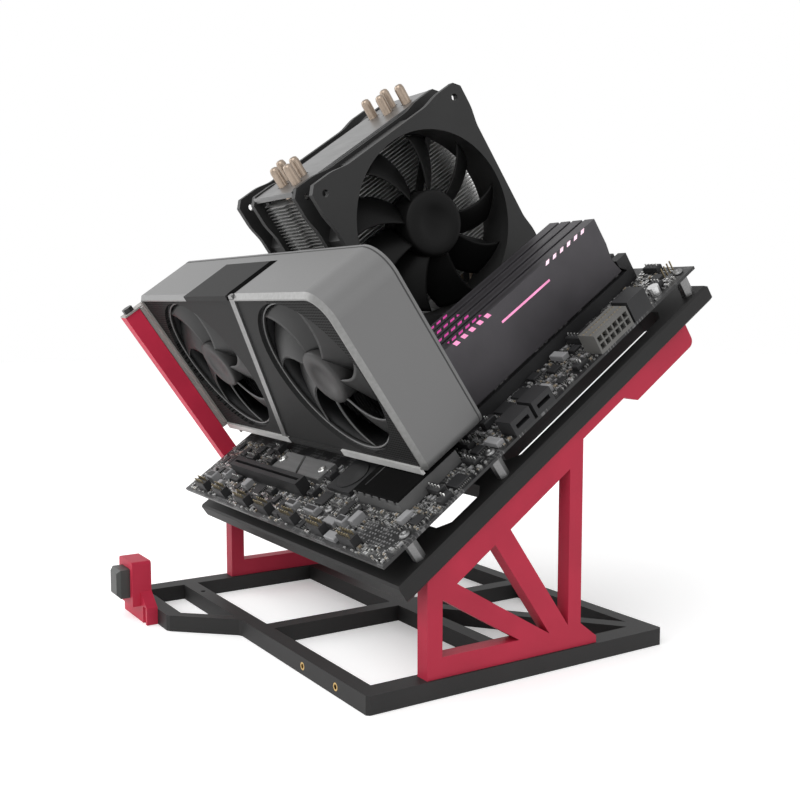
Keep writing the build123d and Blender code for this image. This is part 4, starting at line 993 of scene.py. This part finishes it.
def card_back_details():
    """Screws, shallow grooves and a row of small vents on the card's back plate."""
    head = ((1.9, -0.3), (1.9, 0.0), (1.6, 0.15), (1.0, 0.15), (0.8, -0.2))
    head_sides, edge, inner, spring_reach, spring_n = 18, 12, 78, 26, (40, 88)
    vents, vent_start, vent_pitch, vent_height = 14, 18, 5.4, 2.2
    groove_width, groove_gap = 0.8, 5
    low, high = slope_box("card_back_cover")
    back, middle = high.y, (low.x + high.x) / 2
    vent_x, groove_x = (high.x - 62, high.x - 24), (low.x + 40, high.x - 92)
    skin = (back - 0.1, back + 0.05)
    columns = low.x + edge, low.x + inner, high.x - inner, high.x - edge
    places = [(x, n) for x in columns for n in (low.z + edge, high.z - edge)]
    places += [(x, n) for n in spring_n for x in (middle - spring_reach, middle + spring_reach)]
    mesh = bmesh.new()
    for x, n in places:
        stack(mesh, at(x, back, n), UP_SLOPE, head, head_sides, 1)
    for k in range(vents):
        n = low.z + vent_start + k * vent_pitch
        block(mesh, vent_x, skin, (n, n + vent_height))
    for x in groove_x:
        block(mesh, (x, x + groove_width), skin, (low.z + groove_gap, high.z - groove_gap))
    piece("card_back_details", mesh, ("joint_black", "screw"))


def hull(places):
    """Corners of the convex outline round flat places, in order."""
    places = sorted(set((round(x, 3), round(y, 3)) for x, y in places))

    def half(order):
        chain = []
        for x, y in order:
            while len(chain) > 1:
                (ax, ay), (bx, by) = chain[-2:]
                if (bx - ax) * (y - ay) - (by - ay) * (x - ax) > 1e-6:
                    break
                chain.pop()
            chain.append((x, y))
        return chain[:-1]

    return half(places) + half(places[::-1])


def card_seam():
    """Dark line round the card where the back plate meets the shroud."""
    start, end, sunk, proud = 2.3, 1.5, -0.3, 0.06
    places = [on_slope(vertex.co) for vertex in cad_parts["card_back_cover"].data.vertices]
    outline = hull([(place.x, place.z) for place in places])
    count = len(outline)
    back = max(place.y for place in places)
    mesh = bmesh.new()
    rings = []
    for u, out in ((back - start, sunk), (back - start, proud), (back - end, proud), (back - end, sunk)):
        ring = []
        for k, (x, n) in enumerate(outline):
            along = (Vector(outline[(k + 1) % count]) - Vector(outline[k - 1])).normalized()
            ring.append(mesh.verts.new(at(x + along.y * out, u, n - along.x * out)))
        rings.append(ring)
    for here, there in zip(rings, rings[1:] + rings[:1]):
        for k in range(count):
            j = (k + 1) % count
            mesh.faces.new((here[k], here[j], there[j], there[k]))
    piece("card_seam", mesh, "seam")


# Memory and power socket
def memory_trim():
    """Lit line on the near spreader's side, and leaning lit dashes along its upper edge."""
    line_u, line_n, sunk, line_proud, dash_proud, dash_drop = (141, 180), (36.4, 37.6), 0.2, 0.25, 0.15, 0.1
    _, high = slope_box("memory_spreaders")
    top = high.z - dash_drop
    mesh = bmesh.new()
    block(mesh, (high.x - sunk, high.x + line_proud), line_u, line_n)
    for first, count, length, height, lean, tone in LIGHT_DASHES:
        for k in range(count):
            left = first + k * DASH_PITCH - (length + lean) / 2
            right, bottom = left + length, top - height
            profile = [(left, bottom), (right, bottom), (right + lean, top), (left + lean, top)]
            prism(mesh, (high.x - sunk, high.x + dash_proud), profile, tone)
    piece("memory_side_light", mesh, ("light", "light_pale"))


def power_contacts():
    """Rows of contacts in the main power socket's cells."""
    cells, half, depth, proud, bevel = 12, 0.6, 4, 0.15, 0.2
    low, high = slope_box("main_power_socket")
    mesh = bmesh.new()
    for i in range(cells):
        u = low.y + (i + 0.5) * (high.y - low.y) / cells
        for share in (0.28, 0.72):
            x = low.x + (high.x - low.x) * share
            post(mesh, x, u, half, (high.z - depth, high.z + proud), bevel)
    piece("power_contacts", mesh, "gold")


board_screws()
board_covers()
pad_rows()
legged_chips()
plug_sockets()
chip_parts()
pins_on_headers()
fans()
frame_edges()
bent_pipes()
fine_fins()
memory_trim()
power_contacts()
card_fins()
fan_ducts()
card_trim()
card_seam()
card_back_details()


# Studio: a white floor that keeps a soft shadow, large lights and the photograph's camera
def to_the_eye(tree, others, eye):
    """Strength for camera, mirror and glass rays, and another for the rays that light the object."""
    path = tree.nodes.new("ShaderNodeLightPath")
    total = path.outputs["Is Camera Ray"]
    for kind in ("Is Glossy Ray", "Is Transmission Ray"):
        join = tree.nodes.new("ShaderNodeMath")
        join.operation = "MAXIMUM"
        tree.links.new(total, join.inputs[0])
        tree.links.new(path.outputs[kind], join.inputs[1])
        total = join.outputs["Value"]
    strength = tree.nodes.new("ShaderNodeMapRange")
    strength.inputs["To Min"].default_value = others
    strength.inputs["To Max"].default_value = eye
    tree.links.new(total, strength.inputs["Value"])
    return strength.outputs["Result"]


def studio():
    """Floor, world, lights and camera."""
    scene = bpy.context.scene
    floor_size, floor_drop, floor_glow = 6.0, 0.0002, 0.30
    world_light, world_seen, aim_height = 0.72, 1.0, 0.14
    white = Shader("floor_white")
    white.put(Roughness=0.9)
    white.colour(white.ramp(white.noise(4, 2), [(0.0, grey(0.93)), (1.0, grey(0.95))]))
    white.put(Emission_Color=(1.0, 1.0, 1.0, 1.0))
    white.link(to_the_eye(white.tree, 0.0, floor_glow), white.surface.inputs["Emission Strength"])
    bpy.ops.mesh.primitive_plane_add(size=floor_size, location=(0, 0, -floor_drop))
    floor = bpy.context.object
    floor.name = "floor"
    floor.data.materials.append(white.material)

    world = bpy.data.worlds.new("studio")
    scene.world = world
    world.use_nodes = True
    background = world.node_tree.nodes["Background"]
    background.inputs["Color"].default_value = (1.0, 1.0, 1.0, 1.0)
    strength = to_the_eye(world.node_tree, world_light, world_seen)
    world.node_tree.links.new(strength, background.inputs["Strength"])

    for name, place, size, power in (
        ("key", (0.5, -1.2, 1.4), 1.2, 13.0),
        ("side", (1.6, 0.3, 0.8), 1.0, 2.5),
        ("fill", (-1.2, -1.0, 0.8), 1.2, 9.0),
    ):
        light = bpy.data.lights.new(name, "AREA")
        light.size = size
        light.energy = power
        lamp = bpy.data.objects.new(name, light)
        lamp.location = place
        aim = Vector((0, 0, aim_height)) - Vector(place)
        lamp.rotation_euler = aim.to_track_quat("-Z", "Y").to_euler()
        bpy.context.collection.objects.link(lamp)

    lens = bpy.data.cameras.new("photo_camera")
    lens.lens = CAMERA_LENS
    lens.sensor_width = SENSOR
    lens.clip_start = 0.01
    camera = bpy.data.objects.new("photo_camera", lens)
    camera.location = CAMERA_PLACE
    camera.rotation_euler = (math.pi / 2 - CAMERA_DIP, 0, CAMERA_TURN)
    bpy.context.collection.objects.link(camera)
    scene.camera = camera
    scene.view_settings.view_transform = "Standard"


studio()
